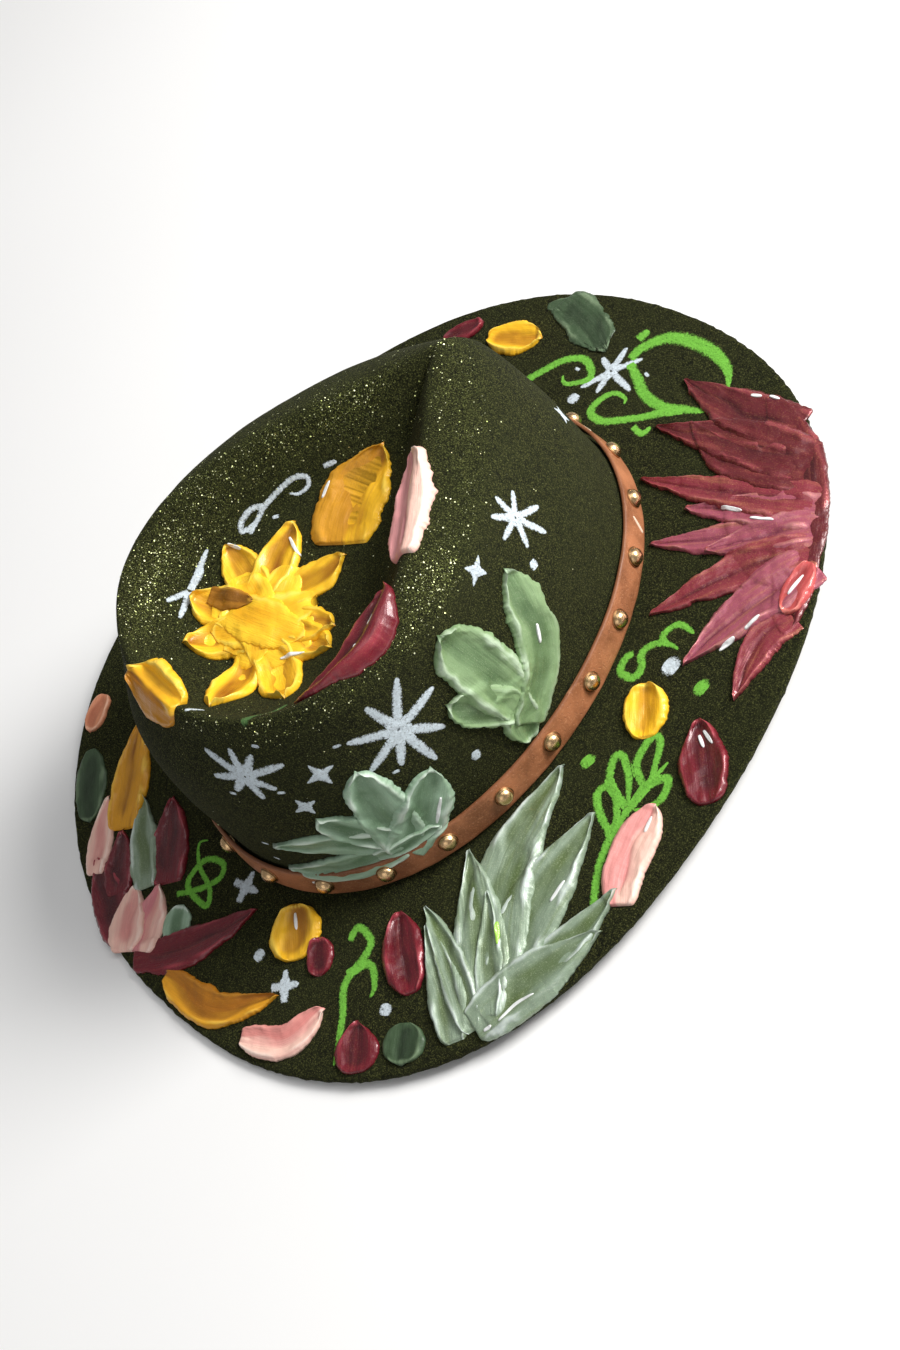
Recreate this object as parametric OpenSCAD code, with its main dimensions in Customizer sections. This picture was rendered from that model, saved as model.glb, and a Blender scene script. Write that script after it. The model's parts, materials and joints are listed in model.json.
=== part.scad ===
// Wool-felt fedora with a teardrop crown, a flat brim, a studded leather hatband and
// thick hand-laid dabs and petals of dried paint. The wearer faces -Y, their left is +X, and
// the hat stands on the front and back of its brim. Lengths are in millimetres.
//
// The felt is a stack of egg-shaped rings, from the brim's edge (station 0) up the crown and
// over its crest (station 8) to the middle of the dent (station 12). A place on the felt is
// a turn (degrees from +X towards the back) and a station, whole or fractional.

/* [Brim] */
// Length of the brim from front to back
brim_length = 342.6; // [334:0.2:350]
// Width of the brim from side to side
brim_width = 303.4; // [296:0.2:310]
// How far the sides of the brim stand above its front and back
brim_lift = 6.2; // [4:0.2:8]

/* [Crown] */
// Length of the crown where it meets the brim
crown_length = 212.4; // [210:0.2:214]
// Width of the crown where it meets the brim
crown_width = 166; // [164:0.2:168]
// Height of the crest above the surface that the hat stands on
crest_height = 102.6; // [100:0.2:106]
// Depth of the dent below the crest
dent_depth = 23.6; // [20:0.2:26]
// Thickness of the felt
felt_thickness = 2.8; // [2.4:0.1:3]

/* [Hatband] */
// Thickness of the leather strap
strap_thickness = 1.8; // [1.4:0.1:2.2]
// Number of studs on the strap
stud_count = 23; // [19:1:27]
// Diameter of the ball that a stud's dome is cut from
stud_ball = 7.6; // [6:0.1:9]

/* [Sweatband] */
// Thickness of the leather sweatband
sweatband_thickness = 1.3; // [1:0.1:1.6]
// Number of stitches that hold the sweatband
stitch_count = 96; // [60:1:110]

/* [Paint] */
// Thickness of the raised rim of a petal
paint_height = 3; // [2:0.1:4]
// Clearance between the paint and the felt under it
paint_gap = 0.45; // [0.3:0.05:0.8]

/* [Hidden] */

felt_green = [0.18, 0.19, 0.11];
tan_leather = [0.60, 0.36, 0.22];
dark_leather = [0.28, 0.18, 0.12];
antique_brass = [0.72, 0.58, 0.32];
yellow_paint = [0.95, 0.72, 0.18];
burgundy_paint = [0.45, 0.14, 0.20];
sage_paint = [0.58, 0.66, 0.58];
pink_paint = [0.92, 0.72, 0.68];
green_paint = [0.25, 0.33, 0.22];

segments = 64;                    // straight pieces round each ring of the felt
band_segments = 90;               // straight pieces round the strap and the sweatband
foot_level = 8.8;                 // height of the foot of the crown
strap_top = 23;                   // height of station 4, just above the strap
crest = crest_height;
dent = crest_height - dent_depth;
half_lift = brim_lift / 2;
crown_a = crown_length / 2;
crown_b = crown_width / 2;
thick = felt_thickness;

// One row a station: half-length, half-width, roundness, egg (wider at the back), point
// (narrower at the front), centre in Y, height, side lift, and how far the underside lies
// inside and below the top side.
RINGS = [
    [brim_length / 2, brim_width / 2, 2.25, 0.06, 0, 0, half_lift + thick, half_lift, 0, thick],
    [140, 118, 2.15, 0.05, 0, 0.6, 6.7, 1.6, 0, thick],
    [crown_a + 4.6, crown_b + 4.4, 2.08, 0.042, 0, 1.3, 7.5, 0.3, 0.6, thick],
    [crown_a, crown_b, 2.05, 0.042, 0, 1.3, foot_level, 0, 2.2, 1.6],
    [crown_a - 2.8, crown_b - 2.8, 2.05, 0.042, 0, 1.3, strap_top, 0, thick, 0.3],
    [crown_a - 4.7, crown_b - 4, 2.05, 0.05, 0.02, 1.4, 54, 0, thick, 0],
    [97, 78.5, 2, 0.03, 0.11, 0.4, crest - 23.6, 0, thick, 0],
    [88.5, 85, 1.95, 0, 0.27, -2.6, crest - 8.6, 0, 2.3, 1.5],
    [80, 87, 1.9, 0, 0.62, -1.2, crest, 0, 0, thick],
    [69, 76, 1.9, 0, 0.66, 3, crest - 8.6, 0, -2, 1.9],
    [53, 56, 1.9, 0, 0.6, 7, dent + 4, 0, -1, 2.6],
    [28, 26, 2, 0, 0.3, 26, dent + 0.5, 0, 0, thick],
    [2, 2, 2, 0, 0, 33, dent, 0, 0, thick]
];
last_station = len(RINGS) - 1;

// Rows of points that the felt's mesh has between one station and the next
TOP_STEPS = [3, 3, 3, 2, 3, 3, 3, 4, 4, 3, 2, 1];
UNDER_STEPS = [2, 2, 2, 1, 2, 2, 2, 3, 3, 2, 2, 1];

// ---- The felt's surface ----

function curved(v, power) = sign(v) * pow(abs(v), power);

function ring_point(k, turn, under) =
    let (
        r = RINGS[k],
        c = curved(cos(turn), 2 / r[2]),
        s = curved(sin(turn), 2 / r[2]),
        narrow = r[4] == 0 ? 1 : pow(max((1 + s) / 2, 1e-9), r[4]),
        inset = under ? r[8] : 0,
        drop = under ? r[9] : 0
    )
    [
        (r[1] - inset) * c * (1 + r[3] * s) * narrow,
        r[5] + (r[0] - inset) * s,
        r[6] + r[7] * cos(2 * turn) - drop
    ];

// A smooth curve through four ring points, at u from the second (0) to the third (1)
function smooth(p0, p1, p2, p3, u) =
    let (
        d0 = norm(p1 - p0),
        d1 = norm(p2 - p1),
        d2 = norm(p3 - p2),
        m1 = (p2 - p0) / (d0 + d1) * (d0 > 0 ? min(d0, d1) : d1),
        m2 = (p3 - p1) / (d1 + d2) * (d2 > 0 ? min(d1, d2) : d1)
    )
    (2 * u * u * u - 3 * u * u + 1) * p1
    + (u * u * u - 2 * u * u + u) * m1
    + (3 * u * u - 2 * u * u * u) * p2
    + (u * u * u - u * u) * m2;

function skin(turn, station, under = false) =
    let (
        k = min(floor(max(station, 0)), last_station - 1),
        p = [for (i = [k - 1 : k + 2]) ring_point(min(max(i, 0), last_station), turn, under)]
    )
    smooth(p[0], p[1], p[2], p[3], station - k);

function along_ring(turn, station) = (skin(turn + 0.5, station) - skin(turn - 0.5, station));

function up_felt(turn, station) = (skin(turn, station + 0.01) - skin(turn, station - 0.01)) / 0.02;

function unit(v) = v / norm(v);

function outward(turn, station) = unit(cross(along_ring(turn, station), up_felt(turn, station)));

// The place reached from a turn and station by going v, in millimetres, along the felt
function moved(turn, station, v) =
    let (
        pt = along_ring(turn, station),
        ps = up_felt(turn, station),
        det = (pt * pt) * (ps * ps) - (pt * ps) * (pt * ps)
    )
    [
        turn + ((ps * ps) * (pt * v) - (pt * ps) * (ps * v)) / det,
        station + ((pt * pt) * (ps * v) - (pt * ps) * (pt * v)) / det
    ];

function above(place, height) =
    skin(place[0], place[1]) + height * outward(place[0], place[1]);

// ---- Closed bands of rings ----

function between(steps) = [
    for (k = [0 : len(steps) - 1]) for (i = [0 : steps[k] - 1]) k + i / steps[k],
    len(steps)
];

function reversed(list) = [for (i = [len(list) - 1 : -1 : 0]) list[i]];

module ring_stack(rows) {
    n = len(rows[0]);
    m = len(rows);
    sides = [
        for (j = [0 : m - 2]) for (i = [0 : n - 1])
            let (a = j * n + i, b = j * n + (i + 1) % n, c = a + n, d = b + n)
            each [[a, c, b], [b, c, d]]
    ];
    bottom = [for (i = [0 : n - 1]) i];
    top = [for (i = [n - 1 : -1 : 0]) (m - 1) * n + i];
    polyhedron(points = [for (row = rows) each row], faces = concat(sides, [bottom, top]));
}

// ---- Felt, leather and studs ----

module felt_body() color(felt_green) {
    turns = [for (i = [0 : segments - 1]) i * 360 / segments];
    under = [for (s = reversed(between(UNDER_STEPS))) [for (t = turns) skin(t, s, true)]];
    top = [for (s = between(TOP_STEPS)) [for (t = turns) skin(t, s)]];
    ring_stack(concat(under, top));
}

// A point on the oval round the foot of the crown, grown outwards and lifted
function oval(turn, grow, z) =
    let (
        r = RINGS[3],
        c = curved(cos(turn), 2 / r[2]),
        s = curved(sin(turn), 2 / r[2])
    )
    [(r[1] + grow) * c * (1 + r[3] * s), r[5] + (r[0] + grow) * s, z];

// A strip of leather on edge round the crown, open at its ends
module band(low, high, thickness, seam_turn, seam_gap) {
    start = seam_turn + seam_gap / 2;
    step = (360 - seam_gap) / band_segments;
    rows = [
        for (i = [0 : band_segments])
            let (t = start + i * step)
            [
                oval(t, low[0], low[1]),
                oval(t, high[0], high[1]),
                oval(t, high[0] + thickness, high[1]),
                oval(t, low[0] + thickness, low[1])
            ]
    ];
    ring_stack(rows);
}

// Growth of the oval and height at the lower and upper edges of each band's inner face
strap_low = [0.6, 10];
strap_high = [-1.8, 22.4];
sweat_low = [-4.4 - sweatband_thickness, 6.6];
sweat_high = [-7.4 - sweatband_thickness, 38];

stud_level = (strap_low[1] + strap_high[1]) / 2;
stud_grow = (strap_low[0] + strap_high[0]) / 2;
strap_lean = atan((strap_low[0] - strap_high[0]) / (strap_high[1] - strap_low[1]));
stud_phase = 4.5;                 // from the wearer's right side back to the nearest stud
post_d = 2.2;
post_clearance = 0.1;
back_d = 5;
back_thickness = 0.5;
leather_slack = 0.15;             // between the strap and the stud's cap or back
dome_sink = 0.7;                  // how far the ball's centre lies behind the strap's face

// Distance run round an oval at each whole multiple of two degrees
function run_table(grow) =
    let (p = [for (t = [0 : 2 : 360]) oval(t, grow, 0)])
    [
        for (i = 0, run = 0; i < len(p); run = run + norm(p[min(i + 1, len(p) - 1)] - p[i]), i = i + 1)
            [run, i * 2]
    ];

function heading(turn, grow) =
    let (d = oval(turn + 1, grow, 0) - oval(turn - 1, grow, 0))
    atan2(d[1], d[0]);

// Puts the children on an oval, their +Z outwards, leaning back with the crown's wall
module on_oval(turn, grow, z, lean) {
    translate(oval(turn, grow, z))
        rotate([0, 0, heading(turn, grow)])
            rotate([90 - lean, 0, 0])
                children();
}

module at_studs() {
    grow = stud_grow;
    table = run_table(grow);
    round_length = table[len(table) - 1][0];
    side_run = [for (row = table) if (row[1] == 180) row[0]][0];
    for (i = [0 : stud_count - 1]) {
        run = side_run - stud_phase + i * round_length / stud_count;
        wrapped = run > round_length ? run - round_length : run;
        on_oval(lookup(wrapped, table), grow, stud_level, strap_lean) children();
    }
}

module hatband_strap() color(tan_leather) difference() {
    band(strap_low, strap_high, strap_thickness, 6, 0.3);
    at_studs()
        translate([0, 0, -1])
            cylinder(d = post_d + 2 * post_clearance, h = strap_thickness + 2, $fn = 24);
}

module stud_cap() {
    face = strap_thickness + leather_slack;
    intersection() {
        translate([0, 0, face - dome_sink]) sphere(d = stud_ball, $fn = 32);
        translate([-stud_ball, -stud_ball, face]) cube(2 * stud_ball);
    }
    translate([0, 0, -leather_slack - back_thickness])
        cylinder(d = post_d, h = face + leather_slack + back_thickness + 0.5, $fn = 24);
}

module stud_caps() color(antique_brass) at_studs() stud_cap();

module stud_backs() color(antique_brass) at_studs()
    translate([0, 0, -leather_slack - back_thickness])
        difference() {
            cylinder(d = back_d, h = back_thickness, $fn = 24);
            translate([0, 0, -1])
                cylinder(d = post_d + post_clearance, h = back_thickness + 2, $fn = 24);
        }

module sweatband() color(dark_leather)
    band(sweat_low, sweat_high, sweatband_thickness, 90, 0.4);

stitch_level = 9.6;
stitch_length = 4;
thread_d = 0.6;

module sweatband_stitching() color(tan_leather) {
    rise = (stitch_level - sweat_low[1]) / (sweat_high[1] - sweat_low[1]);
    grow = sweat_low[0] + rise * (sweat_high[0] - sweat_low[0]) - 0.7 * thread_d;
    table = run_table(grow);
    round_length = table[len(table) - 1][0];
    for (i = [0 : stitch_count - 1]) {
        turn = lookup((i + 0.5) * round_length / stitch_count, table);
        on_oval(turn, grow, stitch_level, 0)
            rotate([0, 90, 0])
                cylinder(d = thread_d, h = stitch_length, center = true, $fn = 16);
    }
}

// ---- Paint ----
// A petal is [turn, station] of its root, the same of its tip, and its width. Its rim is
// raised and its middle is hollow, as a palette knife leaves it.

petal_steps = 6;
hollow = 0.6;                     // height of a petal's middle over that of its rim
rim_inset = 0.88;                 // where the rim's top lies, over the half-width

// Half-width along a petal, over its greatest: a point at the tip, or round at both ends
function pointed(f) = f < 0.35 ? 0.55 + 0.45 * sin(f / 0.35 * 90) : max(0.08, cos((f - 0.35) / 0.65 * 86));
function rounded(f) = max(0.3, sqrt(1 - pow(2 * f - 1, 2)));

function petal_rib(petal, f, side, blunt, gap) =
    let (
        turn = petal[0] + f * (petal[2] - petal[0]),
        station = petal[1] + f * (petal[3] - petal[1]),
        lengthwise = along_ring(turn, station) * (petal[2] - petal[0])
            + up_felt(turn, station) * (petal[3] - petal[1]),
        across = side * unit(cross(outward(turn, station), lengthwise)),
        reach = petal[4] / 2 * (blunt ? rounded(f) : pointed(f)),
        middle = [turn, station],
        edge = moved(turn, station, reach * across),
        rim = moved(turn, station, rim_inset * reach * across),
        height = paint_height * (0.6 + 0.4 * sin(180 * f))
    )
    [
        above(middle, gap),
        above(edge, gap),
        above(rim, gap + height),
        above(middle, gap + hollow * height)
    ];

module petal(petal, blunt, gap) {
    for (side = [-1, 1]) for (i = [0 : petal_steps - 1])
        hull() ring_stack([
            petal_rib(petal, i / petal_steps, side, blunt, gap),
            petal_rib(petal, (i + 1) / petal_steps, side, blunt, gap)
        ]);
}

module petals(list) for (p = list) petal(p, false, paint_gap);

module dab(p, gap = paint_gap) petal(p, true, gap);

// The smooth middle of the flower, spread over the centre of the dent
module flower_heart() {
    turns = [0 : 30 : 330];
    edge = [for (t = turns) above([t, 11.1], paint_gap)];
    top = [for (t = turns) above([t, 11.45], paint_gap + paint_height)];
    hull() ring_stack([edge, top]);
}

module crown_yellow_flower() color(yellow_paint) {
    flower_heart();
    petals([for (tip = [
        [342, 10.3, 17], [4, 9.9, 15], [20, 9.9, 15], [40, 9.75, 18], [63, 9.65, 18],
        [84, 9.8, 15], [104, 9.1, 15], [128, 9.5, 17], [156, 10.4, 18], [232, 10.95, 17]
    ]) [tip[0], 11.4, tip[0], tip[1], tip[2]]]);
}

module crown_yellow_petal() color(yellow_paint) petals([[300, 10.5, 300, 9.6, 22]]);

// Paint that lies over the crest needs more room, because the crest is a tight bend
over_crest = 1.5;

module crown_pink_petal() color(pink_paint) dab([226, 8.4, 203, 8.4, 12], over_crest);

module crown_burgundy_stroke() color(burgundy_paint) petals([[140, 8.6, 186, 8.6, 9]]);

module crown_rim_yellow_petal() color(yellow_paint) dab([76, 7.7, 97, 7.5, 13], over_crest);

module crown_side_succulent() color(sage_paint) petals([
    [178, 4.35, 196, 5.65, 24], [177, 4.5, 178, 6.55, 24], [177, 4.5, 169, 5.35, 18],
    [178, 4.9, 177, 4.15, 15]
]);

module crown_band_succulent() color(sage_paint) petals([
    [149, 4.3, 158, 4.75, 15], [149, 4.3, 145, 5.4, 21], [148, 4.3, 122, 4.8, 20],
    [147, 4.3, 112, 4.3, 13]
]);

module crown_far_succulent() color(sage_paint) petals([
    [0, 4.35, -14, 5.4, 22], [0, 4.4, -2, 6.1, 22], [0, 4.35, 12, 5.3, 20]
]);

module front_burgundy_agave() color(burgundy_paint) petals([
    [237, 0.3, 260, 0.76, 20], [232, 0.2, 255, 1.38, 22], [226, 0.2, 244, 2.0, 24],
    [220, 0.2, 226, 2.05, 24], [215, 0.2, 208, 1.72, 24], [211, 0.2, 198, 1.1, 22],
    [207, 0.3, 195, 0.46, 15]
]);

module front_sage_patch() color(sage_paint) dab([292, 0.4, 279, 0.85, 21]);

module front_yellow_dab() color(yellow_paint) dab([306, 0.55, 297, 0.66, 15]);

module front_burgundy_dab() color(burgundy_paint) dab([316, 0.3, 309, 0.25, 9]);

module side_yellow_dab() color(yellow_paint) dab([194, 1.5, 187, 1.26, 14]);

module side_burgundy_petal() color(burgundy_paint) petals([[183, 0.2, 190, 0.7, 17]]);

module side_pink_petal() color(pink_paint) dab([179, 0.6, 169.5, 0.38, 18]);

module side_sage_agave() color(sage_paint) petals([
    [148, 0.3, 164, 0.45, 17], [147, 0.2, 172, 1.12, 23], [146, 0.2, 175, 1.8, 24],
    [145, 0.2, 151, 2.1, 22], [144, 0.2, 140.5, 1.5, 17]
]);

module rear_burgundy_petal() color(burgundy_paint) dab([134, 1.6, 134.5, 0.8, 13]);

module rear_green_dab() color(green_paint) dab([133, 0.46, 132.5, 0.14, 14]);

module rear_burgundy_dab() color(burgundy_paint) petals([[125, 0.14, 125, 0.6, 15]]);

module rear_pink_petal() color(pink_paint) dab([106, 0.3, 118, 0.68, 14]);

module rear_yellow_petal() color(yellow_paint) petals([[94, 0.3, 109, 0.7, 16]]);

module back_yellow_dab() color(yellow_paint) dab([106, 1.76, 110, 1.25, 15]);

module back_burgundy_dab() color(burgundy_paint) dab([116, 1.5, 117, 1.2, 7]);

module back_burgundy_leaf() color(burgundy_paint) petals([[86, 0.2, 96, 1.5, 15]]);

module back_sage_dab() color(sage_paint) dab([80, 0.8, 80, 1.2, 10]);

module left_pink_petal() color(pink_paint) dab([73, 0.8, 80, 0.4, 12]);

module left_burgundy_petals() color(burgundy_paint) {
    dab([60, 0.38, 75, 0.25, 10]);
    dab([60, 1.42, 73, 1.38, 11]);
}

module left_sage_stroke() color(sage_paint) dab([60, 0.86, 68, 0.74, 9]);

module left_ochre_petal() color(yellow_paint) petals([[52, 0.7, 40, 0.74, 13]]);

module left_green_dab() color(green_paint) dab([42, 0.26, 50, 0.28, 11]);

module left_peach_dab() color(pink_paint) dab([31, 0.32, 37, 0.3, 10]);

module far_sage_fan() color(sage_paint) petals([
    [-10, 0.25, -28, 0.9, 18], [-9, 0.2, -19, 1.7, 22], [-7, 0.2, -7, 2.05, 22],
    [-5, 0.25, 4, 1.4, 19]
]);

module far_yellow_petal() color(yellow_paint) petals([[12, 0.35, 20, 1.0, 16]]);

module far_burgundy_petal() color(burgundy_paint) petals([[322, 0.5, 318, 1.4, 14]]);

module far_pink_petal() color(pink_paint) dab([14, 1.75, 26, 1.5, 12]);

felt_body();
sweatband();
sweatband_stitching();
hatband_strap();
stud_caps();
stud_backs();
crown_yellow_flower();
crown_yellow_petal();
crown_pink_petal();
crown_burgundy_stroke();
crown_rim_yellow_petal();
crown_side_succulent();
crown_band_succulent();
crown_far_succulent();
front_burgundy_agave();
front_sage_patch();
front_yellow_dab();
front_burgundy_dab();
side_yellow_dab();
side_burgundy_petal();
side_pink_petal();
side_sage_agave();
rear_burgundy_petal();
rear_green_dab();
rear_burgundy_dab();
rear_pink_petal();
rear_yellow_petal();
back_yellow_dab();
back_burgundy_dab();
back_burgundy_leaf();
back_sage_dab();
left_pink_petal();
left_burgundy_petals();
left_sage_stroke();
left_ochre_petal();
left_green_dab();
left_peach_dab();
far_sage_fan();
far_yellow_petal();
far_burgundy_petal();
far_pink_petal();
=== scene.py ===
"""Looks of the painted felt fedora.

A place on the felt is a turn (degrees from +X towards the back) and a station (0 at the brim's
edge, 3 at the foot of the crown, 8 on the crest, 12 in the middle of the dent), as in the CAD.
Sizes of shapes are in millimetres and become metres when a mesh is made.
"""

import json
import math
from types import SimpleNamespace

import bpy
import numpy as np
from mathutils import Matrix, Vector
from mathutils.bvhtree import BVHTree

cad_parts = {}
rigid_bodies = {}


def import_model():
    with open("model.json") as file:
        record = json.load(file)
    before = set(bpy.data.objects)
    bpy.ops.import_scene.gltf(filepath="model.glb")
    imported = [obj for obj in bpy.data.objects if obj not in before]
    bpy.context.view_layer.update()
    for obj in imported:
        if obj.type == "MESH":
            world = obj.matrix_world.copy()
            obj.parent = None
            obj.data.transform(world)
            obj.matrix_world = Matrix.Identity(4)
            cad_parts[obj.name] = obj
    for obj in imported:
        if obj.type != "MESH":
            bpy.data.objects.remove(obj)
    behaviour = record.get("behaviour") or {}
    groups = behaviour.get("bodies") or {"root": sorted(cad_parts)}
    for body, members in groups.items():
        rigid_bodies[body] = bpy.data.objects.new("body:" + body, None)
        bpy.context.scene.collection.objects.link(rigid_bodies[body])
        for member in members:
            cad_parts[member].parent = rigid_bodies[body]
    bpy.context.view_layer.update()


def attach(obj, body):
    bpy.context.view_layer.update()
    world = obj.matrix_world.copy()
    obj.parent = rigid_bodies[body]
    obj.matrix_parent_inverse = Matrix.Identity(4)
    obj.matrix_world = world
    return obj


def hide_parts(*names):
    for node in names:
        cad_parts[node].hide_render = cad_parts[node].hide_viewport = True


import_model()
MM = 0.001

# ---- Noise ----


def lattice(ix, iy, seed):
    """A fixed pseudo-random number from 0 to 1 at whole lattice points"""
    h = (ix * 374761393 + iy * 668265263 + seed * 974634777) & 0xFFFFFFFF
    h = ((h ^ (h >> 13)) * 1274126177) & 0xFFFFFFFF
    return ((h ^ (h >> 16)) & 0xFFFF) / 65535.0


def noise(x, y, seed):
    """Smooth noise from -1 to 1"""
    x, y = np.broadcast_arrays(np.asarray(x, float), np.asarray(y, float))
    ix, iy = np.floor(x).astype(np.int64), np.floor(y).astype(np.int64)
    fx, fy = x - ix, y - iy
    sx, sy = fx * fx * (3 - 2 * fx), fy * fy * (3 - 2 * fy)
    low = lattice(ix, iy, seed) * (1 - sx) + lattice(ix + 1, iy, seed) * sx
    high = lattice(ix, iy + 1, seed) * (1 - sx) + lattice(ix + 1, iy + 1, seed) * sx
    return 2 * (low * (1 - sy) + high * sy) - 1


def layered(x, y, seed, layers=3):
    """Noise with finer noise added to it"""
    total = sum(noise(x * 2**i, y * 2**i, seed + i) / 2**i for i in range(layers))
    return total / 1.6


def step(low, high, v):
    f = np.clip((v - low) / (high - low), 0, 1)
    return f * f * (3 - 2 * f)


def bump_at(v, centre, width):
    return np.exp(-(((v - centre) / width) ** 2))


# ---- The felt's surface ----

THICK = 2.8
CREST = 102.6
DENT = 79.0
# Half-length, half-width, roundness, egg, point, centre in Y, height, side lift, inset and drop
RINGS = np.array([
    [171.3, 151.7, 2.25, 0.06, 0, 0, 3.1 + THICK, 3.1, 0, THICK],
    [140, 118, 2.15, 0.05, 0, 0.6, 6.7, 1.6, 0, THICK],
    [110.8, 87.4, 2.08, 0.042, 0, 1.3, 7.5, 0.3, 0.6, THICK],
    [106.2, 83, 2.05, 0.042, 0, 1.3, 8.8, 0, 2.2, 1.6],
    [103.4, 80.2, 2.05, 0.042, 0, 1.3, 23, 0, THICK, 0.3],
    [101.5, 79, 2.05, 0.05, 0.02, 1.4, 54, 0, THICK, 0],
    [97, 78.5, 2, 0.03, 0.11, 0.4, CREST - 23.6, 0, THICK, 0],
    [88.5, 85, 1.95, 0, 0.27, -2.6, CREST - 8.6, 0, 2.3, 1.5],
    [80, 87, 1.9, 0, 0.62, -1.2, CREST, 0, 0, THICK],
    [69, 76, 1.9, 0, 0.66, 3, CREST - 8.6, 0, -2, 1.9],
    [53, 56, 1.9, 0, 0.6, 7, DENT + 4, 0, -1, 2.6],
    [28, 26, 2, 0, 0.3, 26, DENT + 0.5, 0, 0, THICK],
    [2, 2, 2, 0, 0, 33, DENT, 0, 0, THICK],
])
LAST = len(RINGS) - 1
NOTHING = 1e-6                    # shorter than this is rounding, not a distance


def curved(v, power):
    return np.sign(v) * np.abs(v) ** power


def ring_point(k, turn, under):
    r = RINGS[np.clip(k, 0, LAST)]
    c = curved(np.cos(turn), 2 / r[..., 2])
    s = curved(np.sin(turn), 2 / r[..., 2])
    narrow = np.maximum((1 + s) / 2, 1e-9) ** r[..., 4]
    inset, drop = (r[..., 8], r[..., 9]) if under else (0, 0)
    return np.stack([
        (r[..., 1] - inset) * c * (1 + r[..., 3] * s) * narrow,
        r[..., 5] + (r[..., 0] - inset) * s,
        r[..., 6] + r[..., 7] * np.cos(2 * turn) - drop,
    ], axis=-1)


def length(v):
    return np.linalg.norm(v, axis=-1, keepdims=True)


def unit(v):
    return v / np.maximum(length(v), 1e-12)


def skin(turn, station, under=False):
    """Points on the felt's top side, or its underside, in millimetres"""
    turn, station = np.broadcast_arrays(np.asarray(turn, float), np.asarray(station, float))
    turn = np.radians(turn)
    k = np.clip(np.floor(station), 0, LAST - 1).astype(int)
    p0, p1, p2, p3 = (ring_point(k + i, turn, under) for i in (-1, 0, 1, 2))
    d0, d1, d2 = length(p1 - p0), length(p2 - p1), length(p3 - p2)
    # Beyond the first and the last ring there is none, so the distance to it is nothing
    m1 = (p2 - p0) / (d0 + d1) * np.where(d0 > NOTHING, np.minimum(d0, d1), d1)
    m2 = (p3 - p1) / (d1 + d2) * np.where(d2 > NOTHING, np.minimum(d1, d2), d1)
    u = (station - k)[..., None]
    return (
        (2 * u**3 - 3 * u**2 + 1) * p1 + (u**3 - 2 * u**2 + u) * m1
        + (3 * u**2 - 2 * u**3) * p2 + (u**3 - u**2) * m2
    )


def outward(turn, station):
    """Unit normals of the top side"""
    turn, station = np.asarray(turn, float), np.asarray(station, float)
    along = skin(turn + 0.3, station) - skin(turn - 0.3, station)
    low, high = np.maximum(station - 0.02, 0), np.minimum(station + 0.02, LAST)
    return unit(np.cross(along, skin(turn, high) - skin(turn, low)))


# ---- Meshes ----


def build(name, points, faces, material, colours=None, uv=None, smooth=True, extra=None):
    """A new object from points in millimetres, with a colour for each point if given"""
    mesh = bpy.data.meshes.new(name)
    mesh.from_pydata((np.asarray(points) * MM).tolist(), [], faces)
    mesh.polygons.foreach_set("use_smooth", [smooth] * len(mesh.polygons))
    if colours is not None:
        layer = mesh.color_attributes.new("paint", "FLOAT_COLOR", "POINT")
        layer.data.foreach_set("color", np.asarray(colours, np.float32).ravel())
    for key, values in (extra or {}).items():
        layer = mesh.attributes.new(key, "FLOAT", "POINT")
        layer.data.foreach_set("value", np.asarray(values, np.float32).ravel())
    if uv is not None:
        corners = np.empty(len(mesh.loops), np.int32)
        mesh.loops.foreach_get("vertex_index", corners)
        layer = mesh.uv_layers.new(name="stroke")
        layer.data.foreach_set("uv", np.asarray(uv, np.float32)[corners].ravel())
    mesh.materials.append(material)
    mesh.update()
    piece = bpy.data.objects.new(name, mesh)
    bpy.context.scene.collection.objects.link(piece)
    return piece


def grid_faces(rows, columns, closed=False):
    """Quads of a grid whose points run along the columns of one row after another"""
    i, j = np.meshgrid(np.arange(rows - 1), np.arange(columns - (not closed)), indexing="ij")
    a, b = i * columns + j, i * columns + (j + 1) % columns
    return np.stack([a, b, b + columns, a + columns], -1).reshape(-1, 4)


def place_on(piece, *nodes, finish):
    """The piece rides on the only body and stands for CAD nodes, which it hides; finish is not used
    """
    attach(piece, "root")
    if nodes:
        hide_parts(*nodes)


# ---- Materials ----


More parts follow.
